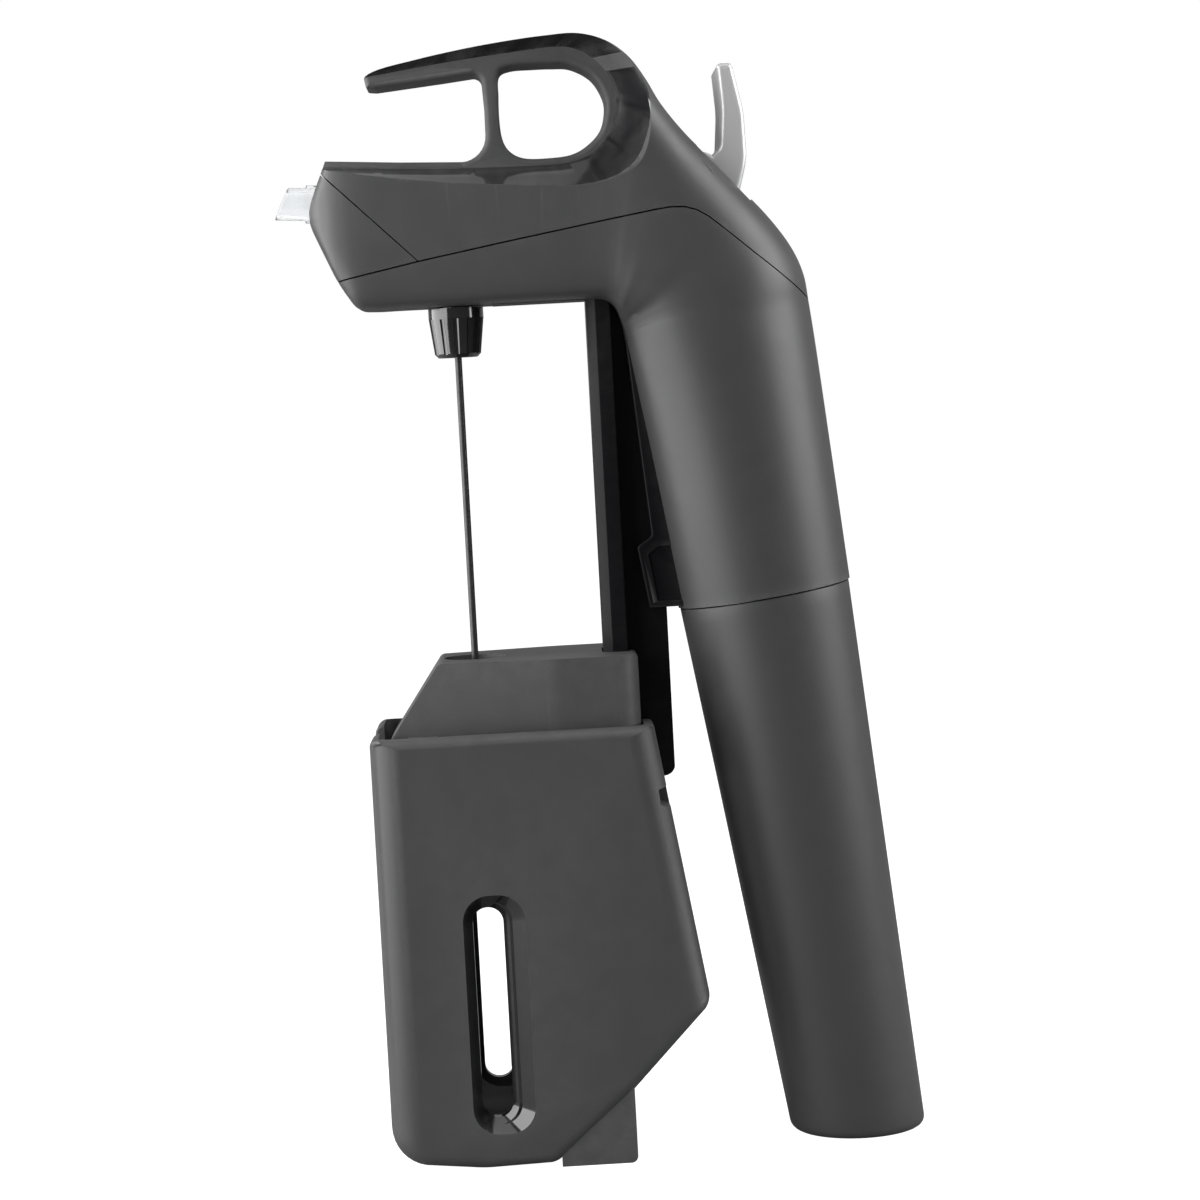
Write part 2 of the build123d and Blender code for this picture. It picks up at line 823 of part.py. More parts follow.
def manifold():
    """Block that joins the needle to the spout and to the gas line."""
    body = block((spout_root_x - 2, 9), (-5.5, 5.5), (head_z + wall, head_z + 19))
    boss_x = (spout_root_x - 5, spout_root_x + 1)
    body += spout_bar(spout_root_r + 1.2) & block(boss_x, (-8, 8), (head_z, head_z + clip))
    body = body & head_cavity()
    body += rod((0, 0, head_z + 0.4), (0, 0, head_z + wall), needle_stem_r + wall)
    body -= spout_bar(spout_root_r)
    body -= stem_socket()
    body -= rod((0, 0, head_z + 6), (0, 0, head_z + 14), 1.0)
    wine_z = head_z + 13
    body -= rod((0, 0, wine_z), (spout_root_x - 1, 0, head_z + spout_dz - 1.5), 1.2)
    return body - gas_line_bar(tube_bore_r, 2.0) - gas_line_bar(tube_r, 9.0)


def gas_line_bar(radius, start_x):
    """The straight gas line from the manifold to the valve."""
    z = head_z + 10
    return rod((start_x, 0, z), (valve_x - valve_r, 0, z), radius)


def gas_tube():
    """Tube that carries gas from the valve to the manifold."""
    return gas_line_bar(tube_r, 9.0) - gas_line_bar(tube_bore_r, 9.0)


def valve_bore(gap):
    """Space of the valve stem, grown by gap."""
    low = head_z + pivot_dz - 3.1 - stem_height
    return rod((valve_x, 0, low), (valve_x, 0, low + stem_height), stem_r + gap)


def valve_body():
    """Turned valve block under the trigger's cam."""
    low = head_z + valve_low_dz
    body = rod((valve_x, 0, low), (valve_x, 0, low + valve_height), valve_r)
    return body - rod((valve_x, 0, low + 1), (valve_x, 0, low + valve_height), stem_r + pin_clearance)


def valve_stem():
    """Stem that the trigger's cam pushes down."""
    return valve_bore(0)


def valve_spring():
    """Spring that lifts the valve stem."""
    low = head_z + valve_low_dz + 1.4
    high = head_z + pivot_dz - 3.1 - stem_height - 0.3
    return Pos(valve_x, 0, low) * coil(1.3, 0.2, 3, high - low - 0.2)


def valve_frame():
    """Metal frame that carries the valve and the trigger's pin."""
    low = head_z + valve_low_dz - wall
    plate = block((valve_x - valve_r, pivot_x + 3), (-clip, clip), (low, low + wall)) & plan_form(wall)
    inner, outer = 13.0, 14.8
    cheek = block((pivot_x - 2.6, pivot_x + 2.6), (inner, outer), (low, pivot_z))
    cheek += rod((pivot_x, inner, pivot_z), (pivot_x, outer, pivot_z), 2.6)
    frame = (plate + both_sides(cheek)) & head_cavity()
    frame -= pivot_bar(pivot_pin_r, outer)
    return frame - rod((valve_x, 0, low), (valve_x, 0, low + wall), tube_r)


def feed_tube():
    """Tube from the regulator up to the valve."""
    p0 = handle_frame.from_local_coords((0, 0, regulator_top()))
    p1 = p0 + handle_frame.z_dir * 14
    p3 = Vector(valve_x, 0, head_z + valve_low_dz)
    p2 = p3 - Vector(0, 0, 12)
    path = FilletPolyline(p0, p1, p2, p3, radius=5)
    section = Plane(origin=path @ 0, z_dir=path % 0)
    outer = sweep(section * Circle(tube_r), path=path)
    return outer - sweep(section * Circle(tube_bore_r), path=path)


# ---------------------------------------------------------------- gas parts in the handle
def regulator_top():
    """Top of the regulator's cap, along the handle's axis."""
    return capsule_top + 2 + regulator_length + 5


def regulator_body():
    """Pressure regulator, bored for its piston."""
    low = capsule_top + 2
    body = turned([
        (0, low), (regulator_r, low), (regulator_r, low + regulator_length),
        (piston_r, low + regulator_length), (piston_r, low + 8), (0, low + 8),
    ])
    return handle_frame * (body - Pos(0, 0, low + 2) * Cylinder(pierce_r, 4))


def regulator_piston():
    """Piston with its stem."""
    low = capsule_top + 2 + 20
    radius = piston_r - pin_clearance
    return handle_frame * turned([(0, low), (2, low), (2, low + 2), (radius, low + 2),
                                  (radius, low + 6), (0, low + 6)])


def regulator_spring():
    """Spring that loads the piston."""
    low = capsule_top + 2 + 9
    return handle_frame * Pos(0, 0, low) * coil(5.5, spring_wire_r, 5, 11.5)


def regulator_cap():
    """Threaded cap with the gas outlet."""
    low = capsule_top + 2 + regulator_length
    cap = turned([(0, low), (regulator_r, low), (regulator_r, low + 3), (4, low + 5), (0, low + 5)])
    return handle_frame * (cap - Pos(0, 0, low + 2.5) * Cylinder(tube_bore_r, 6))


def piercing_pin():
    """Hollow pin that pierces the capsule's neck."""
    low = capsule_top - pierce_reach
    top = capsule_top + 2 + 4
    return handle_frame * turned([(0.3, low), (pierce_r, low + 1.5), (pierce_r, top), (0.3, top)])


def capsule_gasket():
    """Seal between the capsule's neck and the regulator."""
    low = capsule_top + 0.2
    return handle_frame * turned([(1.6, low), (4.4, low), (4.4, capsule_top + 2), (1.6, capsule_top + 2)])


def collar():
    """Threaded collar, fixed in the handle, that the cup screws on."""
    flange_r = handle_r_seam - wall
    return handle_frame * turned([
        (regulator_r, -collar_drop), (collar_r, -collar_drop), (collar_r, 0.4),
        (flange_r, 0.4), (flange_r, collar_rise), (regulator_r, collar_rise),
    ])


def gas_capsule():
    """Pressed steel capsule with its pierced neck."""
    top = capsule_top
    shoulder = top - capsule_neck_length
    low = top - capsule_length
    outer = turned([
        (0, low), (capsule_r - 4, low), (capsule_r, low + 4), (capsule_r, shoulder - 6),
        (capsule_neck_r, shoulder), (capsule_neck_r, top), (0, top),
    ])
    inner_r = capsule_r - capsule_wall
    inner = turned([
        (0, low + capsule_wall), (inner_r - 3, low + capsule_wall), (inner_r, low + 4),
        (inner_r, shoulder - 7), (pierce_bore_r, shoulder - 1.5), (pierce_bore_r, top), (0, top),
    ])
    return handle_frame * (outer - inner)


# ---------------------------------------------------------------- capsule cup
def cup_form(inset):
    """The cup's turned form, inset from its outside."""
    low = -cup_length - cup_r_bottom
    top_r, mid_r, low_r = (r - inset for r in (cup_r_top, cup_r_mid, cup_r_bottom))
    side = Spline((low_r - 0.4, low), (mid_r, -cup_length / 2), (top_r, -seam_gap))
    rest = Polyline((top_r, -seam_gap), (0, -seam_gap), (0, low), (low_r - 0.4, low))
    form = handle_frame * revolve(Plane.XZ * make_face([side, *rest.edges()]), Axis.Z)
    return form - block((-clip, 2 * clip), (-clip, clip), (floor_z - clip, floor_z + inset))


def capsule_cup():
    """Cup that holds the capsule and closes the handle; it stands on the floor."""
    cup = cup_form(0)
    foot = cup.edges().sort_by(Axis.Z)[0]
    cup = fillet(foot, 1.5)
    return cup - cup_form(cup_wall)


def thread_ring():
    """Inner threaded ring at the cup's mouth."""
    top = -seam_gap - 0.5
    low = -collar_drop - 4
    ring = handle_frame * turned([
        (collar_r + pin_clearance, low), (cup_r_top, low), (cup_r_top, top), (collar_r + pin_clearance, top),
    ])
    return ring & cup_form(cup_wall)


def cup_liner():
    """Sleeve with two flanges that centres the capsule in the cup."""
    inner_r = capsule_r + slide_clearance
    outer_r = inner_r + 0.9
    top = capsule_top - capsule_neck_length - 8
    low = capsule_top - capsule_length
    flange = cup_r_top
    sleeve = turned([
        (inner_r, low), (outer_r, low), (outer_r, low + 30), (flange, low + 30), (flange, low + 31.5),
        (outer_r, low + 31.5), (outer_r, top - 1.5), (flange, top - 1.5), (flange, top), (inner_r, top),
    ])
    return (handle_frame * sleeve) & cup_form(cup_wall)


def cup_spring():
    """Spring that presses the capsule up against its gasket."""
    high = capsule_top - capsule_length - slide_clearance
    low = -cup_length + cup_wall + 0.13 * cup_r_bottom
    wire = 0.7
    return handle_frame * Pos(0, 0, low + wire) * coil(7, wire, 4, high - low - 2 * wire)


# ---------------------------------------------------------------- needle
def needle_hub():
    """Fluted thumb hub with its threaded stem."""
    top = head_z - slide_clearance
    low = top - hub_height
    cone = turned([
        (0, low), (hub_bottom_r - 0.8, low), (hub_bottom_r, low + 0.8),
        (hub_top_r, top - 2.2), (hub_top_r, top), (0, top),
    ])
    for index in range(hub_flutes):
        angle = 2 * math.pi * index / hub_flutes
        x, y = (math.cos(angle), math.sin(angle))
        start = (x * (hub_bottom_r + 0.5), y * (hub_bottom_r + 0.5), low - 0.1)
        end = (x * (hub_top_r + 0.5), y * (hub_top_r + 0.5), top - 2.4)
        cone -= rod(start, end, 0.8)
    cone += rod((0, 0, top), (0, 0, head_z + needle_stem_height), needle_stem_r)
    return cone - needle_bar(needle_r)


def needle_bar(radius):
    """The needle's line from its tip to the top of the stem."""
    return rod((0, 0, needle_tip_z), (0, 0, head_z + needle_stem_height), radius)


def needle():
    """Hollow needle with a slanted point."""
    tube = needle_bar(needle_r) - needle_bar(needle_bore_r)
    point = outline([
        (-needle_r - 0.1, needle_tip_z - 1, 0),
        (needle_r + 0.1, needle_tip_z - 1, 0),
        (needle_r + 0.1, needle_tip_z + 3.2, 0),
        (-needle_r - 0.1, needle_tip_z, 0),
    ])
    return tube - slab(point, -clip, clip)


def needle_seal():
    """Ring that seals the top of the stem in the manifold."""
    low = head_z + needle_stem_height
    return pipe((0, 0, low), (0, 0, low + seal_thickness), needle_stem_r, needle_r + 0.3)


# ---------------------------------------------------------------- trigger
def pivot_bar(radius, half):
    """The trigger's pivot line across the head."""
    return rod((pivot_x, -half, pivot_z), (pivot_x, half, pivot_z), radius)


def trigger_slot():
    """Opening in the cover for the trigger and its swing."""
    half = trigger_half_width + trigger_slot_gap
    side = raised([
        (pivot_x - 0.2, pivot_dz, 0),
        (pivot_x - 0.2, pivot_dz + 30, 0),
        (pivot_x + 20, pivot_dz + 30, 0),
        (pivot_x + 12.4, pivot_dz - 5, 0),
        (pivot_x + 8.0, pivot_dz - 9, 0),
        (pivot_x, pivot_dz - 9, 0),
    ])
    return slab(side, -half, half) + pivot_bar(trigger_hub_r + 0.6, half)


def trigger_lever():
    """Curved thumb lever with its hub and the cam that pushes the valve."""
    blade = raised([
        (pivot_x + 4.8, trigger_top_dz, 1.2),
        (pivot_x + 8.3, trigger_top_dz, 1.0),
        (pivot_x + 11.6, 31.0, 34),
        (pivot_x + 8.4, pivot_dz - 4.2, 2.0),
        (pivot_x, pivot_dz - 2.5, 0),
        (pivot_x, pivot_dz + 2, 0),
        (pivot_x + 5.0, pivot_dz + 6.5, 2),
        (pivot_x + 5.8, 40.0, 30),
    ])
    hub = Pos(pivot_x, pivot_z) * Circle(trigger_hub_r)
    pin_hole = Pos(pivot_x, pivot_z) * Circle(pivot_pin_r + pin_clearance)
    lever = slab(blade + hub - pin_hole, -trigger_half_width, trigger_half_width)
    cam_x = (valve_x - cam_overhang, pivot_x - trigger_hub_r + 1)
    return lever + block(cam_x, (-cam_half_width, cam_half_width), (pivot_z - cam_drop, pivot_z + 1.5))


def trigger_spring():
    """Torsion spring on the pivot pin, beside the lever's hub."""
    place = Plane(origin=(pivot_x, trigger_half_width + 0.6, pivot_z), z_dir=(0, 1, 0))
    return place * coil(2.0, 0.3, 4, 2.8)


# ---------------------------------------------------------------- main
def main():
    os.makedirs("parts", exist_ok=True)
    form = full_head()
    pieces = {
        "base_block": base_block(),
        "needle_guide": needle_guide(),
        "bottle_stop_pad": stop_pad(),
        "base_screws": base_screws(),
        "rail_bushing": rail_bushing(),
        "handle_shell": handle_shell(form),
        "top_cover": top_cover(form),
        "nose_cover": nose_cover(form),
        "loop_trim": loop_trim(form),
        "finger_grip": finger_grip(form),
        "root_plate": root_plate(),
        "rail": rail(),
        "rail_anchor": rail_anchor(),
        "rail_screws": rail_screws(),
        "handle_bracket": handle_bracket(),
        "spout": spout(),
        "manifold": manifold(),
        "gas_tube": gas_tube(),
        "valve_body": valve_body(),
        "valve_stem": valve_stem(),
        "valve_spring": valve_spring(),
        "valve_frame": valve_frame(),
        "feed_tube": feed_tube(),
        "regulator_body": regulator_body(),
        "regulator_piston": regulator_piston(),
        "regulator_spring": regulator_spring(),
        "regulator_cap": regulator_cap(),
        "piercing_pin": piercing_pin(),
        "capsule_gasket": capsule_gasket(),
        "collar": collar(),
        "gas_capsule": gas_capsule(),
        "capsule_cup": capsule_cup(),
        "thread_ring": thread_ring(),
        "cup_liner": cup_liner(),
        "cup_spring": cup_spring(),
        "needle_hub": needle_hub(),
        "needle": needle(),
        "needle_seal": needle_seal(),
        "trigger_lever": trigger_lever(),
        "trigger_pin": pivot_bar(pivot_pin_r, 14.8),
        "trigger_spring": trigger_spring(),
    }
    arm_pieces = {
        "arm_shell": arm_shell(),
        "window_bezel": window_bezel(),
        "neck_pad": neck_pad(),
        "heel": heel(),
        "hinge_pin": hinge_pin(),
        "arm_spring": arm_spring(),
    }
    for name, shape in arm_pieces.items():
        pieces[f"{name}_far"] = shape
        pieces[f"{name}_near"] = mirrored(shape)
    for name, shape in pieces.items():
        export_step(shape, f"parts/{name}.step")


main()
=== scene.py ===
import bpy
import bmesh
import json
import math
import numpy as np
from mathutils import Matrix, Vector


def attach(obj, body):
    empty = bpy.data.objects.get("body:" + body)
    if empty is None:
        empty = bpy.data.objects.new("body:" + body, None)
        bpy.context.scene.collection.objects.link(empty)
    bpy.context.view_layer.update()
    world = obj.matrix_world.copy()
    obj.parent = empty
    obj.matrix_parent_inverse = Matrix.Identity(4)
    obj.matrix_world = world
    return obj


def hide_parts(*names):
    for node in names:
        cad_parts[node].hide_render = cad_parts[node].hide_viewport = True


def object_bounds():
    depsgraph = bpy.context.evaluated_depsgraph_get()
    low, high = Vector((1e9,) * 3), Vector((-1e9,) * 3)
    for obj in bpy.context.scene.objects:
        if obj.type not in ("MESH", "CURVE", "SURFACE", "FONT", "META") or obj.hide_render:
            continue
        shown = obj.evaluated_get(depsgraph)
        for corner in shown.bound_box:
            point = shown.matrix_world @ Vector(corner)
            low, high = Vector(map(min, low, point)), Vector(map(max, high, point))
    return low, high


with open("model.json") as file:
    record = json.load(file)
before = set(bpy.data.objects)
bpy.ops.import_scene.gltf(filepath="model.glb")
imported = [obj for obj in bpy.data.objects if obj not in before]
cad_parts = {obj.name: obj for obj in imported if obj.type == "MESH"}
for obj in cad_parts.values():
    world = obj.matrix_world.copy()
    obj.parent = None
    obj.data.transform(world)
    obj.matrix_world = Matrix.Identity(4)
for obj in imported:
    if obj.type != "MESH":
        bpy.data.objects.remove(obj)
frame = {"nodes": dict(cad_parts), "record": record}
cad_box = [list(corner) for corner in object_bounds()]

MM = 0.001
FLOOR_Z = cad_box[0][2]
SEAM_X, SEAM_Z = 63.7, 34.5          # where the cup meets the handle, on the handle's axis
TILT = math.radians(7.2)             # handle against the needle
DOWN = np.array([math.sin(TILT), -math.cos(TILT)])
ACROSS = np.array([math.cos(TILT), math.sin(TILT)])
CORE_HALF = 6.0                      # half the finger grip's thickness
WALL = 2.2
SEAM_GAP = 0.34                      # between the moulded shells
NOSE_GAP_SHARE = 1.5                 # the nose's slanting seam is this much wider along X
FAR_FRONT, FAR_REAR, FAR_UP = -60, 110, 200      # well outside the object, for cutting outlines
FAR_SIDE = 40


# ---------------------------------------------------------------- shader groups
def new_group(name, inputs, outputs):
    """An empty shader node group with float or colour sockets."""
    tree = bpy.data.node_groups.new(name, "ShaderNodeTree")
    for label, kind, value in inputs:
        socket = tree.interface.new_socket(label, in_out="INPUT", socket_type=kind)
        socket.default_value = value
    for label, kind in outputs:
        tree.interface.new_socket(label, in_out="OUTPUT", socket_type=kind)
    return tree, tree.nodes.new("NodeGroupInput"), tree.nodes.new("NodeGroupOutput")


def math_node(tree, operation, a, b):
    node = tree.nodes.new("ShaderNodeMath")
    node.operation = operation
    for socket, value in zip(node.inputs, (a, b)):
        if isinstance(value, (int, float)):
            socket.default_value = value
        else:
            tree.links.new(value, socket)
    return node.outputs[0]


def moulded_grain():
    """Spark-eroded mould grain: two scales of noise and fine cells, as a height and a mottle about zero."""
    tree, given, out = new_group(
        "moulded_grain",
        [("Scale", "NodeSocketFloat", 1.0), ("Mottle", "NodeSocketFloat", 0.1)],
        [("Height", "NodeSocketFloat"), ("Mottle", "NodeSocketFloat")],
    )
    place = tree.nodes.new("ShaderNodeTexCoord").outputs["Object"]
    heights = []
    for kind, size, detail in (("noise", 2600.0, 3.0), ("cells", 1900.0, 0.0), ("noise", 260.0, 2.0)):
        name = "ShaderNodeTexNoise" if kind == "noise" else "ShaderNodeTexVoronoi"
        texture = tree.nodes.new(name)
        tree.links.new(place, texture.inputs["Vector"])
        scale = math_node(tree, "MULTIPLY", given.outputs["Scale"], size)
        tree.links.new(scale, texture.inputs["Scale"])
        if kind == "noise":
            texture.inputs["Detail"].default_value = detail
            heights.append(texture.outputs[0])
        else:
            heights.append(texture.outputs["Distance"])
    fine = math_node(tree, "ADD", heights[0], math_node(tree, "MULTIPLY", heights[1], 0.7))
    coarse = math_node(tree, "MULTIPLY", heights[2], 0.25)
    tree.links.new(math_node(tree, "ADD", fine, coarse), out.inputs["Height"])
    spread = math_node(tree, "SUBTRACT", heights[2], 0.5)
    speck = math_node(tree, "MULTIPLY", math_node(tree, "SUBTRACT", heights[0], 0.5), 0.6)
    mottle = math_node(tree, "MULTIPLY", math_node(tree, "ADD", spread, speck), given.outputs["Mottle"])
    tree.links.new(mottle, out.inputs["Mottle"])
    return tree


def handling_wear():
    """Faint lighter rub where the surface turns sharply outwards, broken up by noise."""
    tree, given, out = new_group(
        "handling_wear",
        [("Amount", "NodeSocketFloat", 0.2), ("Scale", "NodeSocketFloat", 300.0)],
        [("Mask", "NodeSocketFloat")],
    )
    noise = tree.nodes.new("ShaderNodeTexNoise")
    tree.links.new(tree.nodes.new("ShaderNodeTexCoord").outputs["Object"], noise.inputs["Vector"])
    tree.links.new(given.outputs["Scale"], noise.inputs["Scale"])
    point = tree.nodes.new("ShaderNodeNewGeometry").outputs["Pointiness"]
    edge = math_node(tree, "MULTIPLY", math_node(tree, "SUBTRACT", point, 0.505), 9.0)
    edge = math_node(tree, "MAXIMUM", edge, 0.0)
    rub = math_node(tree, "MULTIPLY", edge, noise.outputs[0])
    rub = math_node(tree, "MULTIPLY", rub, given.outputs["Amount"])
    tree.links.new(math_node(tree, "MINIMUM", rub, 1.0), out.inputs["Mask"])
    return tree


GRAIN = moulded_grain()
WEAR = handling_wear()


def finish(name, colour, roughness, grain=1.0, mottle=0.1, bump=0.1, metallic=0.0, coat=0.0,
           coat_roughness=0.05, wear=0.15, wear_colour=(0.3, 0.3, 0.3), rough_spread=0.1, specular=0.5):
    """One finish: a Principled surface whose colour, roughness and normal carry grain, mottle and wear."""
    material = bpy.data.materials.new(name)
    material.use_nodes = True
    tree = material.node_tree
    surface = tree.nodes["Principled BSDF"]
    surface.inputs["Metallic"].default_value = metallic
    surface.inputs["Coat Weight"].default_value = coat
    surface.inputs["Coat Roughness"].default_value = coat_roughness
    surface.inputs["Specular IOR Level"].default_value = specular
    texture = tree.nodes.new("ShaderNodeGroup")
    texture.node_tree = GRAIN
    texture.inputs["Scale"].default_value = grain
    texture.inputs["Mottle"].default_value = mottle
    rub = tree.nodes.new("ShaderNodeGroup")
    rub.node_tree = WEAR
    rub.inputs["Amount"].default_value = wear
    brightness = math_node(tree, "ADD", texture.outputs["Mottle"], 1.0)
    shade = tree.nodes.new("ShaderNodeMix")
    shade.data_type = "RGBA"
    shade.blend_type = "MULTIPLY"
    shade.inputs["Factor"].default_value = 1.0
    shade.inputs["A"].default_value = (*colour, 1)
    tree.links.new(brightness, shade.inputs["B"])
    worn = tree.nodes.new("ShaderNodeMix")
    worn.data_type = "RGBA"
    worn.inputs["B"].default_value = (*wear_colour, 1)
    tree.links.new(rub.outputs["Mask"], worn.inputs["Factor"])
    tree.links.new(shade.outputs["Result"], worn.inputs["A"])
    tree.links.new(worn.outputs["Result"], surface.inputs["Base Color"])
    spread = math_node(tree, "MULTIPLY", texture.outputs["Mottle"], rough_spread / max(mottle, 0.01))
    tree.links.new(math_node(tree, "ADD", spread, roughness), surface.inputs["Roughness"])
    relief = tree.nodes.new("ShaderNodeBump")
    relief.inputs["Strength"].default_value = bump
    relief.inputs["Distance"].default_value = 0.0001
    tree.links.new(texture.outputs["Height"], relief.inputs["Height"])
    tree.links.new(relief.outputs["Normal"], surface.inputs["Normal"])
    return material


def clear_finish(name):
    """Clear moulded plastic with a faint haze."""
    material = bpy.data.materials.new(name)
    material.use_nodes = True
    tree = material.node_tree
    surface = tree.nodes["Principled BSDF"]
    surface.inputs["Transmission Weight"].default_value = 0.9
    surface.inputs["IOR"].default_value = 1.46
    texture = tree.nodes.new("ShaderNodeGroup")
    texture.node_tree = GRAIN
    texture.inputs["Scale"].default_value = 0.3
    texture.inputs["Mottle"].default_value = 0.1
    tint = tree.nodes.new("ShaderNodeMix")
    tint.data_type = "RGBA"
    tint.inputs["A"].default_value = (0.93, 0.94, 0.95, 1)
    tint.inputs["B"].default_value = (0.80, 0.82, 0.84, 1)
    tree.links.new(math_node(tree, "ADD", texture.outputs["Mottle"], 0.1), tint.inputs["Factor"])
    tree.links.new(tint.outputs["Result"], surface.inputs["Base Color"])
    haze = math_node(tree, "ADD", texture.outputs["Mottle"], 0.09)
    tree.links.new(haze, surface.inputs["Roughness"])
    return material


FINISHES = {
    "graphite_shell": finish(
        "graphite_shell", (0.044, 0.044, 0.045), 0.45, 0.9, 0.10, 0.10, wear=0.10),
    "clamp_grey": finish(
        "clamp_grey", (0.046, 0.046, 0.047), 0.52, 0.7, 0.22, 0.22, wear=0.12),
    "gloss_black": finish(
        "gloss_black", (0.010, 0.010, 0.011), 0.13, 0.25, 0.05, 0.02,
        coat=0.6, wear=0.05, rough_spread=0.03),
    "grip_matt": finish(
        "grip_matt", (0.055, 0.055, 0.056), 0.62, 0.55, 0.45, 0.40, wear=0.2),
    "black_plastic": finish(
        "black_plastic", (0.006, 0.006, 0.007), 0.26, 0.8, 0.08, 0.05, wear=0.10, rough_spread=0.05,
        specular=0.07),
    "rubber_black": finish(
        "rubber_black", (0.012, 0.012, 0.012), 0.78, 0.5, 0.2, 0.2, wear=0.05),
    "clear_plastic": clear_finish("clear_plastic"),
    "silver_grey": finish(
        "silver_grey", (0.55, 0.55, 0.555), 0.36, 1.0, 0.05, 0.06, metallic=0.35, wear=0.3,
        wear_colour=(0.6, 0.6, 0.6)),
    "steel": finish(
        "steel", (0.52, 0.52, 0.53), 0.30, 0.6, 0.08, 0.06,
        metallic=1.0, wear=0.3, wear_colour=(0.75, 0.75, 0.75)),
    "needle_coating": finish(
        "needle_coating", (0.020, 0.020, 0.021), 0.32, 0.9, 0.15, 0.06, metallic=0.4),
    "brass_parts": finish(
        "brass_parts", (0.72, 0.50, 0.22), 0.30, 0.6, 0.08, 0.06,
        metallic=1.0, wear_colour=(0.85, 0.7, 0.4)),
    "alloy": finish(
        "alloy", (0.62, 0.63, 0.64), 0.34, 0.6, 0.08, 0.06, metallic=1.0, wear_colour=(0.8, 0.8, 0.8)),
    "capsule_steel": finish(
        "capsule_steel", (0.58, 0.58, 0.59), 0.25, 0.4, 0.06, 0.05,
        metallic=1.0, wear_colour=(0.8, 0.8, 0.8)),
}


# ---------------------------------------------------------------- shapes worked out with numpy
SMALLEST_ARC = 0.04
FLAT_BORDER = 0.5


def through(points, count):
    """Smooth rows through given rows: a cubic from each to the next, with central-difference slopes."""
    p = np.array(points, float)
    slope = np.gradient(p, axis=0)
    at = np.linspace(0, len(p) - 1, count)
    k = np.minimum(at.astype(int), len(p) - 2)
    u = (at - k)[:, None]
    h00, h10 = 2 * u**3 - 3 * u**2 + 1, u**3 - 2 * u**2 + u
    h01, h11 = -2 * u**3 + 3 * u**2, u**3 - u**2
    return h00 * p[k] + h10 * slope[k] + h01 * p[k + 1] + h11 * slope[k + 1]


def mesh_object(name, vertices, faces):
    """A closed smooth object at the origin from vertices in millimetres, its faces turned outwards."""
    mesh = bpy.data.meshes.new(name)
    mesh.from_pydata((np.asarray(vertices) * MM).tolist(), [], faces)
    mesh.update()
    mesh.polygons.foreach_set("use_smooth", np.ones(len(mesh.polygons), bool))
    piece = bpy.data.objects.new(name, mesh)
    bpy.context.scene.collection.objects.link(piece)
    turn_outwards(piece)
    return piece


def turn_outwards(piece):
    """Makes a closed mesh's faces point out."""
    work = bmesh.new()
    work.from_mesh(piece.data)
    bmesh.ops.recalc_face_normals(work, faces=work.faces)
    if work.calc_volume(signed=True) < 0:
        bmesh.ops.reverse_faces(work, faces=work.faces)
    work.to_mesh(piece.data)
    work.free()


def ring_quads(rows, ring):
    """The quads between neighbouring rings of a grid, as rows of vertex numbers."""
    r, c = np.meshgrid(np.arange(rows - 1), np.arange(ring), indexing="ij")
    d = (c + 1) % ring
    quads = np.stack([r * ring + c, r * ring + d, (r + 1) * ring + d, (r + 1) * ring + c], -1)
    return quads.reshape(-1, 4).tolist()


def grid_solid(name, grid):
    """A closed solid from a grid of rings (rows, ring, xyz), with a fan at each end."""
    rows, ring = grid.shape[:2]
    ends = np.stack([grid[0].mean(0), grid[-1].mean(0)])
    vertices = np.concatenate([grid.reshape(-1, 3), ends])
    around, after = np.arange(ring), (np.arange(ring) + 1) % ring
    last = (rows - 1) * ring
    first_fan = np.stack([after, around, np.full(ring, rows * ring)], -1)
    last_fan = np.stack([last + around, last + after, np.full(ring, rows * ring + 1)], -1)
    return mesh_object(name, vertices, ring_quads(rows, ring) + first_fan.tolist() + last_fan.tolist())


def ring_solid(name, grid):
    """A closed solid from a grid of rings (rows, ring, xyz), with a flat face at each end."""
    rows, ring = grid.shape[:2]
    last = (rows - 1) * ring
    ends = [list(range(ring))[::-1], list(range(last, last + ring))]
    return mesh_object(name, grid.reshape(-1, 3), ring_quads(rows, ring) + ends)


def at_y(outline, y):
    """A side outline of (x, z) points as a ring in space at y, which is one value or one for each point."""
    points = np.array(outline, float)
    return np.column_stack([points[:, 0], np.broadcast_to(y, len(points)), points[:, 1]])


def superellipse_rings(rows, ring):
    """Rings between an inner and an outer line of the side view, half width w across Y.

    With angle a round the ring, the point is at share t = -sign(cos a)|cos a|^(2/n), from -1 at the inner
    line to 1 at the outer, and at y = w sign(sin a)|sin a|^(2/n); n has one value on the inner half and
    another on the outer.
    """
    a = np.linspace(0, 2 * np.pi, ring, endpoint=False)
    c, s = np.cos(a), np.sin(a)
    n = np.where(c[None, :] > 0, rows[:, 5:6], rows[:, 6:7])
    t = -np.sign(c) * np.abs(c) ** (2 / n)
    y = rows[:, 4:5] * np.sign(s) * np.abs(s) ** (2 / n)
    low, high = rows[:, None, 0:2], rows[:, None, 2:4]
    xz = (low + high) / 2 + (high - low) / 2 * t[..., None]
    return np.stack([xz[..., 0], y, xz[..., 1]], -1)


def side_prism(name, outline, y_low, y_high):
    """A straight prism across Y from a closed side outline of (x, z) points."""
    return ring_solid(name, np.stack([at_y(outline, y) for y in (y_low, y_high)]))


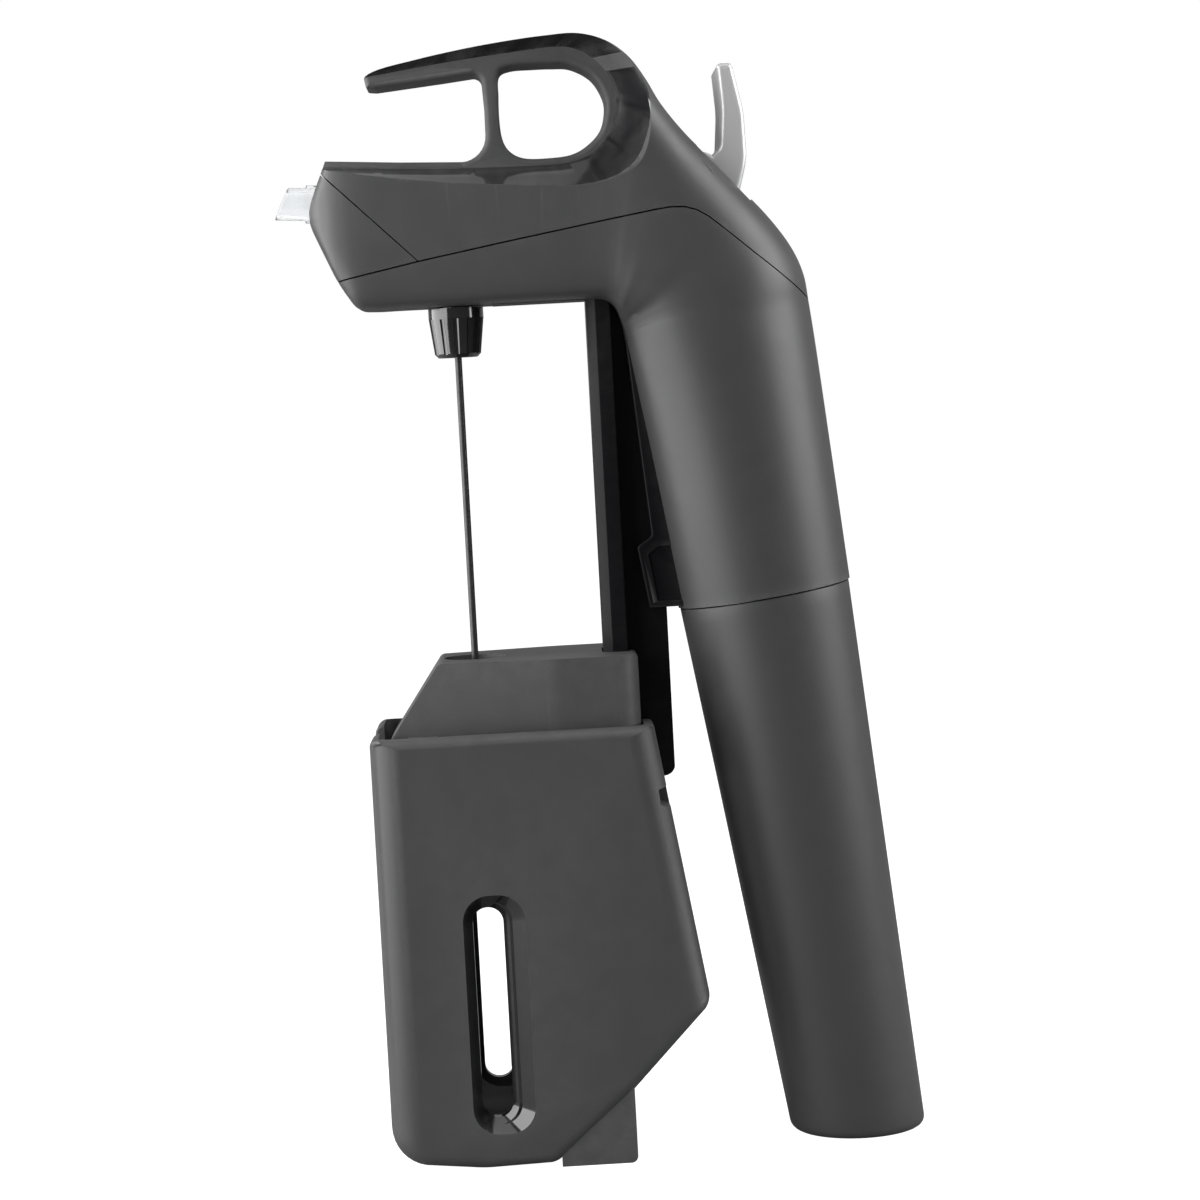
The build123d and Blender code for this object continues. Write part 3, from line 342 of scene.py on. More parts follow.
def rounded(corners, steps=7):
    """A closed outline from corners (u, v, radius): each corner becomes an arc of so many points."""
    c = np.array(corners, float)
    p, radius = c[:, :2], c[:, 2]
    back, ahead = np.roll(p, 1, 0) - p, np.roll(p, -1, 0) - p
    back /= np.linalg.norm(back, axis=1, keepdims=True)
    ahead /= np.linalg.norm(ahead, axis=1, keepdims=True)
    half = np.arccos(np.clip((back * ahead).sum(1), -1, 1)) / 2
    inward = back + ahead
    inward /= np.linalg.norm(inward, axis=1, keepdims=True)
    centre = p + inward * (radius / np.sin(half))[:, None]
    turn = np.pi / 2 - half
    along = np.linspace(-1, 1, steps)[None, :] * turn[:, None]
    side = np.sign(back[:, 0] * ahead[:, 1] - back[:, 1] * ahead[:, 0])
    cos, sin = np.cos(along), np.sin(along) * -side[:, None]
    out = -inward[:, None, :] * radius[:, None, None]
    arc = np.stack([out[..., 0] * cos - out[..., 1] * sin, out[..., 0] * sin + out[..., 1] * cos], -1)
    return (centre[:, None, :] + arc).reshape(-1, 2)


def outward_normals(p):
    """Unit normals of a closed outline's sides, pointing out, and 1 or -1 for the way round that it runs."""
    after = np.roll(p, -1, 0)
    edge = after - p
    way_round = np.sign((p[:, 0] * after[:, 1] - p[:, 1] * after[:, 0]).sum())
    normal = np.column_stack([edge[:, 1], -edge[:, 0]]) * way_round
    return normal / np.linalg.norm(normal, axis=1, keepdims=True), way_round


def grown(points, distance):
    """A closed outline moved outwards by distance along its mitred normals."""
    p = np.array(points, float)
    normal, _ = outward_normals(p)
    before = np.roll(normal, 1, 0)
    mitre = (normal + before) / (1 + (normal * before).sum(1, keepdims=True))
    return p + mitre * distance


def moved_corners(corners, distance):
    """Corners of an outline whose sides have each moved outwards by their distance, with radii to suit."""
    c = np.array(corners, float)
    p = c[:, :2]
    normal, way_round = outward_normals(p)
    d = np.broadcast_to(np.asarray(distance, float), len(p))
    before, d_before = np.roll(normal, 1, 0), np.roll(d, 1)
    sides = np.stack([before, normal], 1)
    shift = np.linalg.solve(sides, np.stack([d_before, d], 1)[..., None])[..., 0]
    bend = np.sign(before[:, 0] * normal[:, 1] - before[:, 1] * normal[:, 0]) * way_round
    radius = np.maximum(c[:, 2] + bend * (d + d_before) / 2, SMALLEST_ARC)
    return np.column_stack([p + shift, radius])


def soft_prism(name, corners, y_low, y_high, low_round, high_round, steps=6, arc=9):
    """A prism across Y whose end edges are quarter rounds of radius r, one value or one for each side.

    At angle a a side of the ring has moved in by r (1 - sin a) and stands r (1 - cos a) from its end;
    a negative radius flares the end outwards instead. A ring a little further in keeps each end face flat.
    """
    rings = []
    a = np.linspace(0, np.pi / 2, steps)
    blend = np.linspace(0, 1, arc)[None, :]
    for end, sign, radius, order in ((y_low, 1, low_round, a), (y_high, -1, high_round, a[::-1])):
        r = np.broadcast_to(np.asarray(radius, float), len(corners))
        r_point = (np.roll(r, 1)[:, None] * (1 - blend) + r[:, None] * blend).ravel()
        flat = [at_y(rounded(moved_corners(corners, -r - FLAT_BORDER * np.sign(r)), arc), end)]
        bands = []
        for angle in order:
            ring = rounded(moved_corners(corners, -r * (1 - np.sin(angle))), arc)
            bands.append(at_y(ring, end + sign * np.abs(r_point) * (1 - np.cos(angle))))
        rings += flat + bands if sign > 0 else bands + flat
    return ring_solid(name, np.stack(rings))


def flared_tool(name, outline, half, radius, steps=6):
    """A cutting tool across Y with a closed outline, opening out by a quarter round at both faces."""
    a = np.linspace(0, np.pi / 2, steps)
    rings = [(-half - 1, radius)]
    rings += [(-half + radius * (1 - np.cos(t)), radius * (1 - np.sin(t))) for t in a]
    rings += [(-y, grow) for y, grow in rings[::-1]]
    return ring_solid(name, np.stack([at_y(grown(outline, grow), y) for y, grow in rings]))


def cut(piece, tool, how="DIFFERENCE"):
    """Takes a tool's shape from a piece's mesh, or joins or keeps it."""
    modifier = piece.modifiers.new("cut", "BOOLEAN")
    modifier.operation = how
    modifier.solver = "MANIFOLD"
    modifier.object = tool
    apply_modifiers(piece)


def apply_modifiers(piece):
    """Replaces a piece's mesh by what its modifiers make of it."""
    graph = bpy.context.evaluated_depsgraph_get()
    mesh = bpy.data.meshes.new_from_object(piece.evaluated_get(graph))
    old = piece.data
    piece.modifiers.clear()
    piece.data = mesh
    bpy.data.meshes.remove(old)


def copy_of(piece, name):
    """A second object with its own copy of the mesh."""
    twin = bpy.data.objects.new(name, piece.data.copy())
    bpy.context.scene.collection.objects.link(twin)
    return twin


def discard(*tools):
    """Removes cutting tools that have done their work."""
    for tool in tools:
        bpy.data.objects.remove(tool)


def crisp(piece, degrees):
    """Smooth shading that breaks at edges sharper than the given angle."""
    mesh = piece.data
    mesh.polygons.foreach_set("use_smooth", np.ones(len(mesh.polygons), bool))
    mesh.set_sharp_from_angle(angle=math.radians(degrees))


def show(piece, body, slot, *nodes):
    """Finishes a piece: its material, the body it rides on and the CAD nodes it stands for."""
    piece.data.materials.clear()
    piece.data.materials.append(FINISHES[slot])
    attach(piece, body)
    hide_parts(*nodes)


# ---------------------------------------------------------------- the body's form
def handle_row(up, radius, inner_power=2.0):
    """Inner and outer line, half width and exponents of the round handle, up mm above the cup's seam."""
    centre = np.array([SEAM_X, SEAM_Z]) - DOWN * up
    low, high = centre - ACROSS * radius, centre + ACROSS * radius
    return [*low, *high, radius, inner_power, 2.0]


# From the nose back over the loop and down the handle: inner (x, z), outer (x, z), half width and the
# exponents of the inner and the outer half of the section.
BODY_ROWS = [
    [-30.0, 118.8, -30.1, 122.2, 4.6, 3.0, 3.0],
    [-29.4, 117.1, -29.4, 124.2, 7.6, 3.5, 3.5],
    [-27.9, 113.6, -28.0, 127.4, 10.3, 4.0, 4.0],
    [-26.4, 110.2, -26.4, 131.0, 11.7, 5.0, 5.0],
    [-24.9, 106.9, -24.9, 135.6, 12.5, 6.0, 6.0],
    [-22.8, 103.3, -22.8, 140.2, 13.1, 7.0, 7.0],
    [-20.6, 100.5, -20.6, 144.0, 13.5, 8.0, 8.0],
    [-17.5, 100.0, -18.6, 147.0, 13.8, 9.0, 9.0],
    [-12.0, 100.0, -15.2, 150.2, 14.2, 9.0, 9.0],
    [-4.0, 100.0, -5.5, 152.4, 14.9, 9.0, 9.0],
    [5.0, 100.0, 4.5, 154.1, 15.6, 9.0, 8.0],
    [14.0, 100.0, 13.5, 155.3, 16.3, 9.0, 7.0],
    [22.0, 100.0, 22.0, 156.1, 16.9, 9.0, 6.2],
    [28.0, 100.0, 29.2, 156.3, 17.3, 8.5, 5.6],
    [31.6, 99.7, 35.2, 154.5, 17.8, 7.6, 5.2],
    [33.2, 99.0, 39.8, 151.0, 18.2, 6.6, 4.8],
    [34.1, 98.1, 43.2, 146.2, 18.6, 5.6, 4.4],
    [34.6, 97.2, 46.2, 140.8, 18.9, 4.8, 4.0],
    [34.9, 96.4, 50.8, 134.7, 19.3, 4.1, 3.6],
    [35.1, 95.7, 56.2, 128.9, 19.6, 3.5, 3.2],
    [35.3, 94.9, 62.2, 122.5, 19.9, 3.0, 2.9],
    [35.45, 94.1, 68.2, 115.9, 20.1, 2.6, 2.6],
    [35.6, 93.3, 72.9, 109.3, 20.3, 2.5, 2.35],
    [35.75, 92.5, 75.5, 103.2, 20.4, 2.45, 2.15],
    handle_row(60.3, 20.45, 2.4),
    handle_row(52.0, 20.35, 2.2),
    handle_row(42.0, 20.1, 2.07),
    handle_row(31.0, 19.8),
    handle_row(20.0, 19.5),
    handle_row(10.0, 19.2),
    handle_row(0.15, 18.92),
]

FORM_ROWS, FORM_RING = 190, 144
CAVITY_FIRST_ROW, HANDLE_FIRST_ROW = 8, 100

# The loop's bevel: rim point (x, z) at the core's face, edge point (x, z) and half width at the outer side.
BEVEL = [
    [-60.0, 131.4, -60.0, 130.9, 12.0], [-40.0, 131.0, -40.0, 130.5, 12.1],
    [-26.5, 130.6, -26.5, 129.8, 12.2], [-18.0, 130.2, -18.0, 128.4, 13.2],
    [-10.0, 129.7, -9.9, 127.1, 14.0], [1.7, 129.2, 1.7, 125.5, 15.2],
    [12.0, 129.05, 12.0, 124.6, 16.0], [20.0, 129.0, 20.5, 124.0, 16.6],
    [26.0, 129.3, 28.0, 123.7, 17.0], [31.0, 130.9, 34.6, 124.9, 17.2],
    [34.6, 134.6, 39.8, 128.1, 17.3], [36.5, 139.0, 42.6, 133.6, 17.3],
    [36.8, 143.2, 43.6, 139.6, 16.9], [35.4, 147.4, 42.6, 145.6, 15.4],
    [32.6, 150.8, 39.0, 151.0, 13.2], [28.8, 153.2, 33.8, 154.9, 11.0],
    [24.0, 153.9, 27.0, 156.3, 9.5], [15.0, 153.2, 16.5, 155.6, 8.9],
    [5.0, 152.2, 6.0, 154.3, 8.6], [-5.0, 151.0, -4.6, 152.6, 8.1],
    [-15.3, 149.6, -15.6, 150.3, 7.3], [-40.0, 146.6, -40.0, 147.6, 7.0],
    [-60.0, 144.4, -60.0, 145.4, 7.0],
]

LONG_SEAM = [(FAR_FRONT, 99.6), (-23.9, 106.3), (-6.9, 109.5), (10.5, 112.4), (31.8, 115.8), (43.3, 117.5)]
SEAM_BEND = [(46.5, 117.9), (49.6, 117.8), (52.2, 117.0), (54.6, 115.5), (57.5, 113.1)]
SEAM_FALL = [(64.0, 107.5), (75.3, 98.3), (FAR_REAR, 70.0)]


BEVEL_STEPS = 160
POCKET_DEPTHS = (CORE_HALF - 0.02, 12.0, 18.0, 26.0)


def body_form(name, inset=0.0, first_row=0):
    """The smooth form of head, loop and handle, shrunk by inset all round."""
    rows = through(BODY_ROWS, FORM_ROWS)[first_row:]
    line = rows[:, 2:4] - rows[:, 0:2]
    unit = line / np.linalg.norm(line, axis=1, keepdims=True)
    rows[:, 0:2] += unit * inset
    rows[:, 2:4] -= unit * inset
    rows[:, 4] -= inset
    return grid_solid(name, superellipse_rings(rows, FORM_RING))


def bevel_line(depth):
    """The bevel's side line at a distance depth from the symmetry plane, carried on in a straight line."""
    rows = through(BEVEL, BEVEL_STEPS)
    share = (depth - CORE_HALF) / (rows[:, 4:5] - CORE_HALF)
    return rows[:, 0:2] + (rows[:, 2:4] - rows[:, 0:2]) * share


def bevel_pocket(side):
    """What is cut from one side so that the head narrows to the finger grip."""
    return grid_solid("pocket", np.stack([at_y(bevel_line(depth), side * depth) for depth in POCKET_DEPTHS]))


def bevel_outer_edge():
    """The bevel's outer edge in side view, from the nose round to where it runs out over the loop's top."""
    rows = through(BEVEL, BEVEL_STEPS)
    line = rows[(rows[:, 1] < 149.0) & (rows[:, 0] > -58)][:, 2:4]
    return [tuple(point) for point in line[line[:, 0] > -40]] + [(52, 152)]


def core_block():
    """The space that the finger grip fills, within the bevel's rim line."""
    return side_prism("core", bevel_line(CORE_HALF), -CORE_HALF, CORE_HALF)


# The loop's hole, and the open mouth in front of the strut as corners with radii.
HOLE = [(12.1, 149.0), (14.6, 150.2), (19.0, 150.35), (23.2, 150.3), (27.4, 149.9), (31.6, 147.5),
        (33.9, 143.8), (34.4, 140.4), (33.1, 135.8), (30.3, 132.8), (26.8, 131.0), (22.1, 130.5),
        (16.7, 130.7), (13.6, 132.3), (12.1, 135.2), (11.7, 140.1), (11.8, 145.0)]
MOUTH = [(FAR_FRONT, 133.2, 1), (-25.4, 132.2, 1), (-9.9, 131.2, 1), (3.6, 130.6, 1), (8.5, 130.7, 5.5),
         (8.6, 141.3, 1), (8.2, 149.2, 1.8), (-0.4, 148.3, 1), (-14.4, 147.0, 1), (-16.3, 147.2, 0.4),
         (-17.2, 152.0, 0.4), (FAR_FRONT, 152, 1)]
GRIP_EDGE = 1.25
CURVE_STEPS = 10
FACE_SLIP = 0.01                     # the mouth's tool stands this far proud of the faces that it cuts


def closed_curve(points):
    """A smooth closed outline through the given points."""
    p = np.array(points, float)
    wrapped = np.concatenate([p[-2:], p, p[:2]])
    curve = through(wrapped, CURVE_STEPS * (len(wrapped) - 1) + 1)
    return curve[2 * CURVE_STEPS:(2 + len(p)) * CURVE_STEPS]


def finger_grip(form):
    """Matt core of the loop: the top bar, the strut and the hole's rim, every edge rounded."""
    grip = copy_of(form, "grip_core")
    core = core_block()
    cut(grip, core, "INTERSECT")
    face = CORE_HALF + FACE_SLIP
    hole = flared_tool("hole", closed_curve(HOLE), CORE_HALF, GRIP_EDGE)
    mouth = soft_prism("mouth", MOUTH, -face, face, -GRIP_EDGE, -GRIP_EDGE)
    for tool in (hole, mouth):
        cut(grip, tool)
    discard(hole, mouth, core)
    return grip


CAVITY_SIDE = [(-24, 103), (-24, 121.5), (0, 121), (26, 119.5), (36, 121), (42, 130), (46, 132),
               (FAR_REAR, 130), (FAR_REAR, 20), (-24, 20)]
TRIGGER_SLOT = [(53.4, 150), (53.4, 124), (60, 112.5), (64.9, 119.6), (78, 138), (78, 150)]
TRIGGER_SLOT_HALF = 9.5
NOSE_SEAM_LOW, NOSE_SEAM_HIGH = (-6.9, 109.5), (FAR_FRONT, 162)
NOSE_TUCK = 0.2                      # the upper cover starts this far below the nose seam's low end
UNDER_HEAD = 60


def cavity():
    """The hollow of head and handle, kept clear of the bevel and the finger grip."""
    hollow = body_form("cavity", WALL, CAVITY_FIRST_ROW)
    keep_within(hollow, CAVITY_SIDE)
    return hollow


def keep_within(piece, outline):
    """Keeps what lies within a side outline."""
    tool = side_prism("tool", outline, -FAR_SIDE, FAR_SIDE)
    cut(piece, tool, "INTERSECT")
    discard(tool)


def seam_outlines():
    """Side outlines of the lower shell, of the upper one, of the nose cap and of all behind the nose cap."""
    gap = SEAM_GAP / 2
    lean = gap * NOSE_GAP_SHARE
    seam = LONG_SEAM + SEAM_BEND + SEAM_FALL
    low = [(x, z - gap) for x, z in seam] + [(FAR_REAR, 0), (FAR_FRONT, 0)]
    high = [(x, z + gap) for x, z in seam] + [(FAR_REAR, FAR_UP), (FAR_FRONT, FAR_UP)]
    (low_x, low_z), (high_x, high_z) = NOSE_SEAM_LOW, NOSE_SEAM_HIGH
    nose = [(low_x - lean, low_z), (high_x - lean, high_z),
            (high_x - lean, UNDER_HEAD), (low_x - lean, UNDER_HEAD)]
    rest = [(low_x + lean, low_z - NOSE_TUCK), (high_x + lean, high_z), (high_x + lean, FAR_UP),
            (FAR_REAR, FAR_UP), (FAR_REAR, UNDER_HEAD), (low_x + lean, UNDER_HEAD)]
    return low, high, nose, rest


def body_pieces():
    """Head, handle and loop, hollowed, bevelled and parted along their seams."""
    form = body_form("form")
    pieces = {"grip_core": finger_grip(form)}
    for side in (1, -1):
        pocket = bevel_pocket(side)
        cut(form, pocket)
        discard(pocket)
    hollow, core = cavity(), core_block()
    cut(form, core)
    trim_side = [(FAR_FRONT, FAR_UP), *bevel_outer_edge(), (70, FAR_UP)]
    trim_block = side_prism("trim_block", trim_side, -FAR_SIDE, FAR_SIDE)
    pieces["loop_trim_gloss"] = copy_of(form, "loop_trim_gloss")
    cut(pieces["loop_trim_gloss"], trim_block, "INTERSECT")
    cut(form, trim_block)
    cut(form, hollow)
    discard(trim_block, core, hollow)
    low, high, nose, rest = seam_outlines()
    shells = {"handle_and_lower_head": [low], "upper_cover": [high, rest], "nose_cap": [high, nose]}
    for name, outlines in shells.items():
        pieces[name] = copy_of(form, name)
        for outline in outlines:
            keep_within(pieces[name], outline)
    discard(form)
    slot = side_prism("slot", TRIGGER_SLOT, -TRIGGER_SLOT_HALF, TRIGGER_SLOT_HALF)
    cut(pieces["upper_cover"], slot)
    discard(slot)
    return pieces


# Edges that turn by more than these degrees stay sharp in the shading.
SHELL_CREASE, CUP_CREASE, TRIGGER_CREASE, RAIL_CREASE, ARM_CREASE = 28, 40, 35, 40, 32

pieces = body_pieces()
for label, slot_name, replaced in (
    ("handle_and_lower_head", "graphite_shell", "handle_shell"),
    ("upper_cover", "graphite_shell", "top_cover"),
    ("nose_cap", "graphite_shell", "nose_cover"),
    ("loop_trim_gloss", "gloss_black", "loop_trim"),
    ("grip_core", "grip_matt", "finger_grip"),
):
    crisp(pieces[label], SHELL_CREASE)
    show(pieces[label], "opener_body", slot_name, replaced)


# ---------------------------------------------------------------- cup
CUP_LIP = 0.12                       # the rim stands this far below the handle's end
CUP_FOOT_ROUND, CUP_RIM_ROUND = 1.5, 0.25
CUP_WALL = 1.8
CUP_LENGTH = 119.4
CUP_RADII = np.array([(0, 18.6), (40, 17.2), (80, 15.9), (CUP_LENGTH, 14.6)])
RIM_SHARE, FOOT_SHARE, FLOOR_SHARE = 0.002, 0.985, 0.99      # where the rounds begin and the inside ends
CUP_RING = 128


def cup_ring(share, shrink, raised=0.0):
    """Ring of the cup at a share of the way from its rim to its level foot, shrunk and with the foot raised.

    At angle a the ring's point lies r cos a across the axis and r sin a along Y; it is taken down the
    axis to share times the distance at which that line meets the foot's level.
    """
    a = np.linspace(0, 2 * np.pi, CUP_RING, endpoint=False)
    radius = np.interp(share * CUP_LENGTH, *CUP_RADII.T) - shrink
    height = SEAM_Z + radius * np.cos(a) * ACROSS[1] - FLOOR_Z / MM - raised
    down = CUP_LIP + (height / -DOWN[1] - CUP_LIP) * share
    xz = np.array([SEAM_X, SEAM_Z]) + down[:, None] * DOWN + (radius * np.cos(a))[:, None] * ACROSS
    return at_y(xz, radius * np.sin(a))


def cup_piece():
    """Long tapered cup: outer wall with a rounded rim and foot, and the hollow inside."""
    turn = np.linspace(0, np.pi / 2, 6)[1:]
    inner = [cup_ring(share, CUP_WALL, CUP_WALL) for share in np.linspace(FLOOR_SHARE, 0.0, 12)]
    rim = [cup_ring(RIM_SHARE * (1 - np.sin(t)), CUP_RIM_ROUND * (1 - np.cos(t))) for t in turn[::-1]]
    outer = [cup_ring(share, 0.0) for share in np.linspace(RIM_SHARE, FOOT_SHARE, 40)]
    foot = [cup_ring(FOOT_SHARE + (1 - FOOT_SHARE) * np.sin(t), CUP_FOOT_ROUND * (1 - np.cos(t)))
            for t in turn]
    return grid_solid("tapered_cup", np.stack(inner + rim + outer + foot))


cup = cup_piece()
crisp(cup, CUP_CREASE)
show(cup, "cup", "graphite_shell", "capsule_cup")


# ---------------------------------------------------------------- trigger
PIVOT_X, PIVOT_Z = 53.5, 124.4
TRIGGER_HALF = 9.0
TRIGGER_HUB_R, TRIGGER_PIN_R = 5.6, 1.53
TRIGGER_EDGE, HUB_EDGE, TINY_EDGE = 1.1, 0.7, 0.1
CAM_HALF, CAM_EDGE = 2.5, 0.3
TRIGGER_BLADE = [
    (PIVOT_X + 4.8, 148.4, 1.1), (PIVOT_X + 8.2, 148.4, 1.0), (PIVOT_X + 10.3, 138.0, 20),
    (PIVOT_X + 10.5, 128.0, 14), (PIVOT_X + 8.4, 120.2, 1.8), (PIVOT_X, 121.9, 0.3), (PIVOT_X, 126.4, 0.3),
    (PIVOT_X + 4.7, 130.6, 2.5), (PIVOT_X + 5.4, 139.0, 26),
]
CAM = [(43.7, 121.5, 0.4), (49.5, 121.5, 0.4), (49.5, 125.9, 0.4), (43.7, 125.9, 0.4)]


def pivot_bar(name, radius, half, edge):
    """A round bar on the trigger's pivot, with rounded ends."""
    corners = [(PIVOT_X + radius * u, PIVOT_Z + radius * v, radius - 0.01)
               for u, v in ((1, 1), (-1, 1), (-1, -1), (1, -1))]
    return soft_prism(name, corners, -half, half, edge, edge, arc=19)


def trigger_piece():
    """Curved thumb lever: rounded blade, hub on the pin and the cam that pushes the valve."""
    lever = soft_prism("thumb_trigger", TRIGGER_BLADE, -TRIGGER_HALF, TRIGGER_HALF,
                       TRIGGER_EDGE, TRIGGER_EDGE)
    hub = pivot_bar("hub", TRIGGER_HUB_R, TRIGGER_HALF, HUB_EDGE)
    cam = soft_prism("cam", CAM, -CAM_HALF, CAM_HALF, CAM_EDGE, CAM_EDGE)
    hole = pivot_bar("hole", TRIGGER_PIN_R, 12, TINY_EDGE)
    for tool, how in ((hub, "UNION"), (cam, "UNION"), (hole, "DIFFERENCE")):
        cut(lever, tool, how)
    discard(hub, cam, hole)
    return lever


trigger = trigger_piece()
crisp(trigger, TRIGGER_CREASE)
show(trigger, "trigger", "silver_grey", "trigger_lever")


# ---------------------------------------------------------------- arms
ARM_CORNERS = [
    (-23.1, 9.3, 2.0), (37.4, 9.3, 1.0), (46.6, -50.5, 4.0), (29.5, -68.0, 14.0),
    (12.0, -83.0, 4.0), (-4.0, -83.4, 30.0), (-23.1, -81.4, 8.0),
]
ARM_EDGES = (2.3, 5.5, 2.4, 2.4, 2.0, 2.4, 6.5)     # how far each side's outer edge is rounded
ARM_INNER, ARM_OUTER, ARM_WALL = 8.6, 23.5, 2.0
ARM_INNER_EDGE, HOLLOW_EDGE = 0.5, 3.0
OPEN_TOP = 20.0                      # the hollow is carried up this far, so that the arm is open above
NECK_R = 14.7
WINDOW_MOUTH = [(-5.25, -76.0, 5.6), (7.95, -76.0, 5.6), (7.95, -24.8, 5.6), (-5.25, -24.8, 5.6)]
HEEL_SIDE = [(13.0, -58.0), (29.2, -58.0), (29.2, -84.5), (13.0, -84.5)]
CATCH_SLOT = [(37.6, -4.5), (42.0, -3.5), (42.0, -9.5), (37.9, -7.8)]
BARREL_Y, BARREL_Z = 18.3, 3.4
BARREL_BARS = ((2.6, -4.0, 12.0), (1.23, -6.0, 14.0))        # radius and ends of the barrel and of its bore
BARREL_WEB = [(-4.0, 1.9), (12.0, 1.9), (12.0, 4.9), (-4.0, 4.9)]
WEB_REACH = 22.5
NECK_RING, BARREL_RING = 96, 48


def on_side(side, near, far):
    """Two distances from the symmetry plane as Y values in rising order."""
    return sorted((side * near, side * far))


def arm_piece(name, side):
    """Outer shell of an arm with its window, its neck recess and its hinge barrel."""
    order = slice(None, None, side)
    shell = soft_prism(name, ARM_CORNERS, *on_side(side, ARM_INNER, ARM_OUTER),
                       *(ARM_INNER_EDGE, ARM_EDGES)[order], steps=9)
    inside = moved_corners(ARM_CORNERS, [OPEN_TOP] + [-ARM_WALL] * (len(ARM_CORNERS) - 1))
    depth = on_side(side, -1.0, ARM_OUTER - ARM_WALL)
    tools = [
        soft_prism("hollow", inside, *depth, *(TINY_EDGE, HOLLOW_EDGE)[order]),
        neck_bar(),
        side_prism("window", rounded(WINDOW_MOUTH, 12), *on_side(side, 20.5, 30.0)),
        side_prism("heel", HEEL_SIDE, *on_side(side, 18.5, 22.5)),
        side_prism("catch", CATCH_SLOT, *on_side(side, 12.0, 30.0)),
    ]
    for tool in tools:
        cut(shell, tool)
    barrel = hinge_barrel(side)
    cut(shell, barrel, "UNION")
    discard(barrel, *tools)
    return shell


def neck_bar():
    """The round space of a bottle's neck between the arms."""
    a = np.linspace(0, 2 * np.pi, NECK_RING, endpoint=False)
    x, y = NECK_R * np.cos(a), NECK_R * np.sin(a)
    rings = [np.column_stack([x, y, np.full(NECK_RING, z)]) for z in (-90.0, 0.0)]
    return ring_solid("neck", np.stack(rings))


def hinge_barrel(side):
    """Bored barrel on the arm's inside, with the web that ties it to the wall."""
    a = np.linspace(0, 2 * np.pi, BARREL_RING, endpoint=False)
    bars = []
    for radius, rear, front in BARREL_BARS:
        y, z = side * BARREL_Y + radius * np.cos(a), BARREL_Z + radius * np.sin(a)
        rings = [np.column_stack([np.full(BARREL_RING, x), y, z]) for x in (rear, front)]
        bars.append(ring_solid("bar", np.stack(rings)))
    barrel, bore = bars
    web = side_prism("web", BARREL_WEB, *on_side(side, BARREL_Y, WEB_REACH))
    cut(barrel, web, "UNION")
    cut(barrel, bore)
    discard(web, bore)
    return barrel


# ---------------------------------------------------------------- rail and bracket
RAIL_SECTION = [
    (28.0, -5.2, 0.35), (29.9, -7.0, 0.4), (33.2, -7.0, 0.35), (33.2, -3.0, 0.2), (42.2, -3.0, 0.4),
    (42.2, 3.0, 0.4), (33.2, 3.0, 0.2), (33.2, 7.0, 0.35), (29.9, 7.0, 0.4), (28.0, 5.2, 0.35),
]
RAIL_FOOT, RAIL_TOP = -4.0, 102.2
RAIL_SIDE = [(27.0, RAIL_FOOT, 0.1), (42.3, RAIL_FOOT, 2.6), (42.3, 103.0, 0.1), (27.0, 103.0, 0.1)]
BRACKET_SIDE = [
    (39.0, 91.0, 0.2), (36.1, 91.0, 0.2), (39.6, 48.5, 1.2),
    (36.3, 46.3, 1.0), (38.4, 33.0, 0.3), (52.0, 33.0, 0.2),
]
BRACKET_PANEL = [
    (41.0, 46.3, 0.5), (38.6, 44.6, 0.5), (40.2, 34.4, 0.3), (50.0, 34.4, 0.2), (46.0, 46.3, 0.2),
]
BRACKET_HALF, BRACKET_EDGE, PANEL_DEPTH = 6.0, 0.45, 0.4


def rail_piece():
    """T-section rail with softened edges, its lower rear corner rounded off."""
    section = rounded(RAIL_SECTION, 5)
    rings = [np.column_stack([section, np.full(len(section), z)]) for z in (RAIL_FOOT, 20.0, 60.0, RAIL_TOP)]
    rail = ring_solid("slide_rail", np.stack(rings))
    side = soft_prism("side", RAIL_SIDE, -9, 9, TINY_EDGE, TINY_EDGE)
    cut(rail, side, "INTERSECT")
    discard(side)
    return rail


def bracket_piece():
    """Stiffener down the handle's front, ending in a forward lip with a raised border."""
    strip = soft_prism("handle_rib", BRACKET_SIDE, -BRACKET_HALF, BRACKET_HALF, BRACKET_EDGE, BRACKET_EDGE)
    for side in (-1, 1):
        reach = on_side(side, BRACKET_HALF - PANEL_DEPTH, BRACKET_HALF + 2)
        recess = soft_prism("recess", BRACKET_PANEL, *reach, TINY_EDGE, TINY_EDGE)
        cut(strip, recess)
        discard(recess)
    handle = body_form("handle", first_row=HANDLE_FIRST_ROW)
    cut(strip, handle)
    discard(handle)
    return strip


for piece, replaced in ((rail_piece(), "rail"), (bracket_piece(), "handle_bracket")):
    crisp(piece, RAIL_CREASE)
    show(piece, "opener_body", "black_plastic", replaced)

for name, side in (("far", 1), ("near", -1)):
    arm = arm_piece("clamp_arm_" + name, side)
    crisp(arm, ARM_CREASE)
    show(arm, name + "_arm", "clamp_grey", "arm_shell_" + name)


# ---------------------------------------------------------------- CAD nodes that are shown as they are
SLOT_OF = {part["node"]: part["material_slot"] for part in frame["record"]["subparts"]}
for node, piece in frame["nodes"].items():
    piece.data.materials.clear()
    piece.data.materials.append(FINISHES[SLOT_OF[node]])


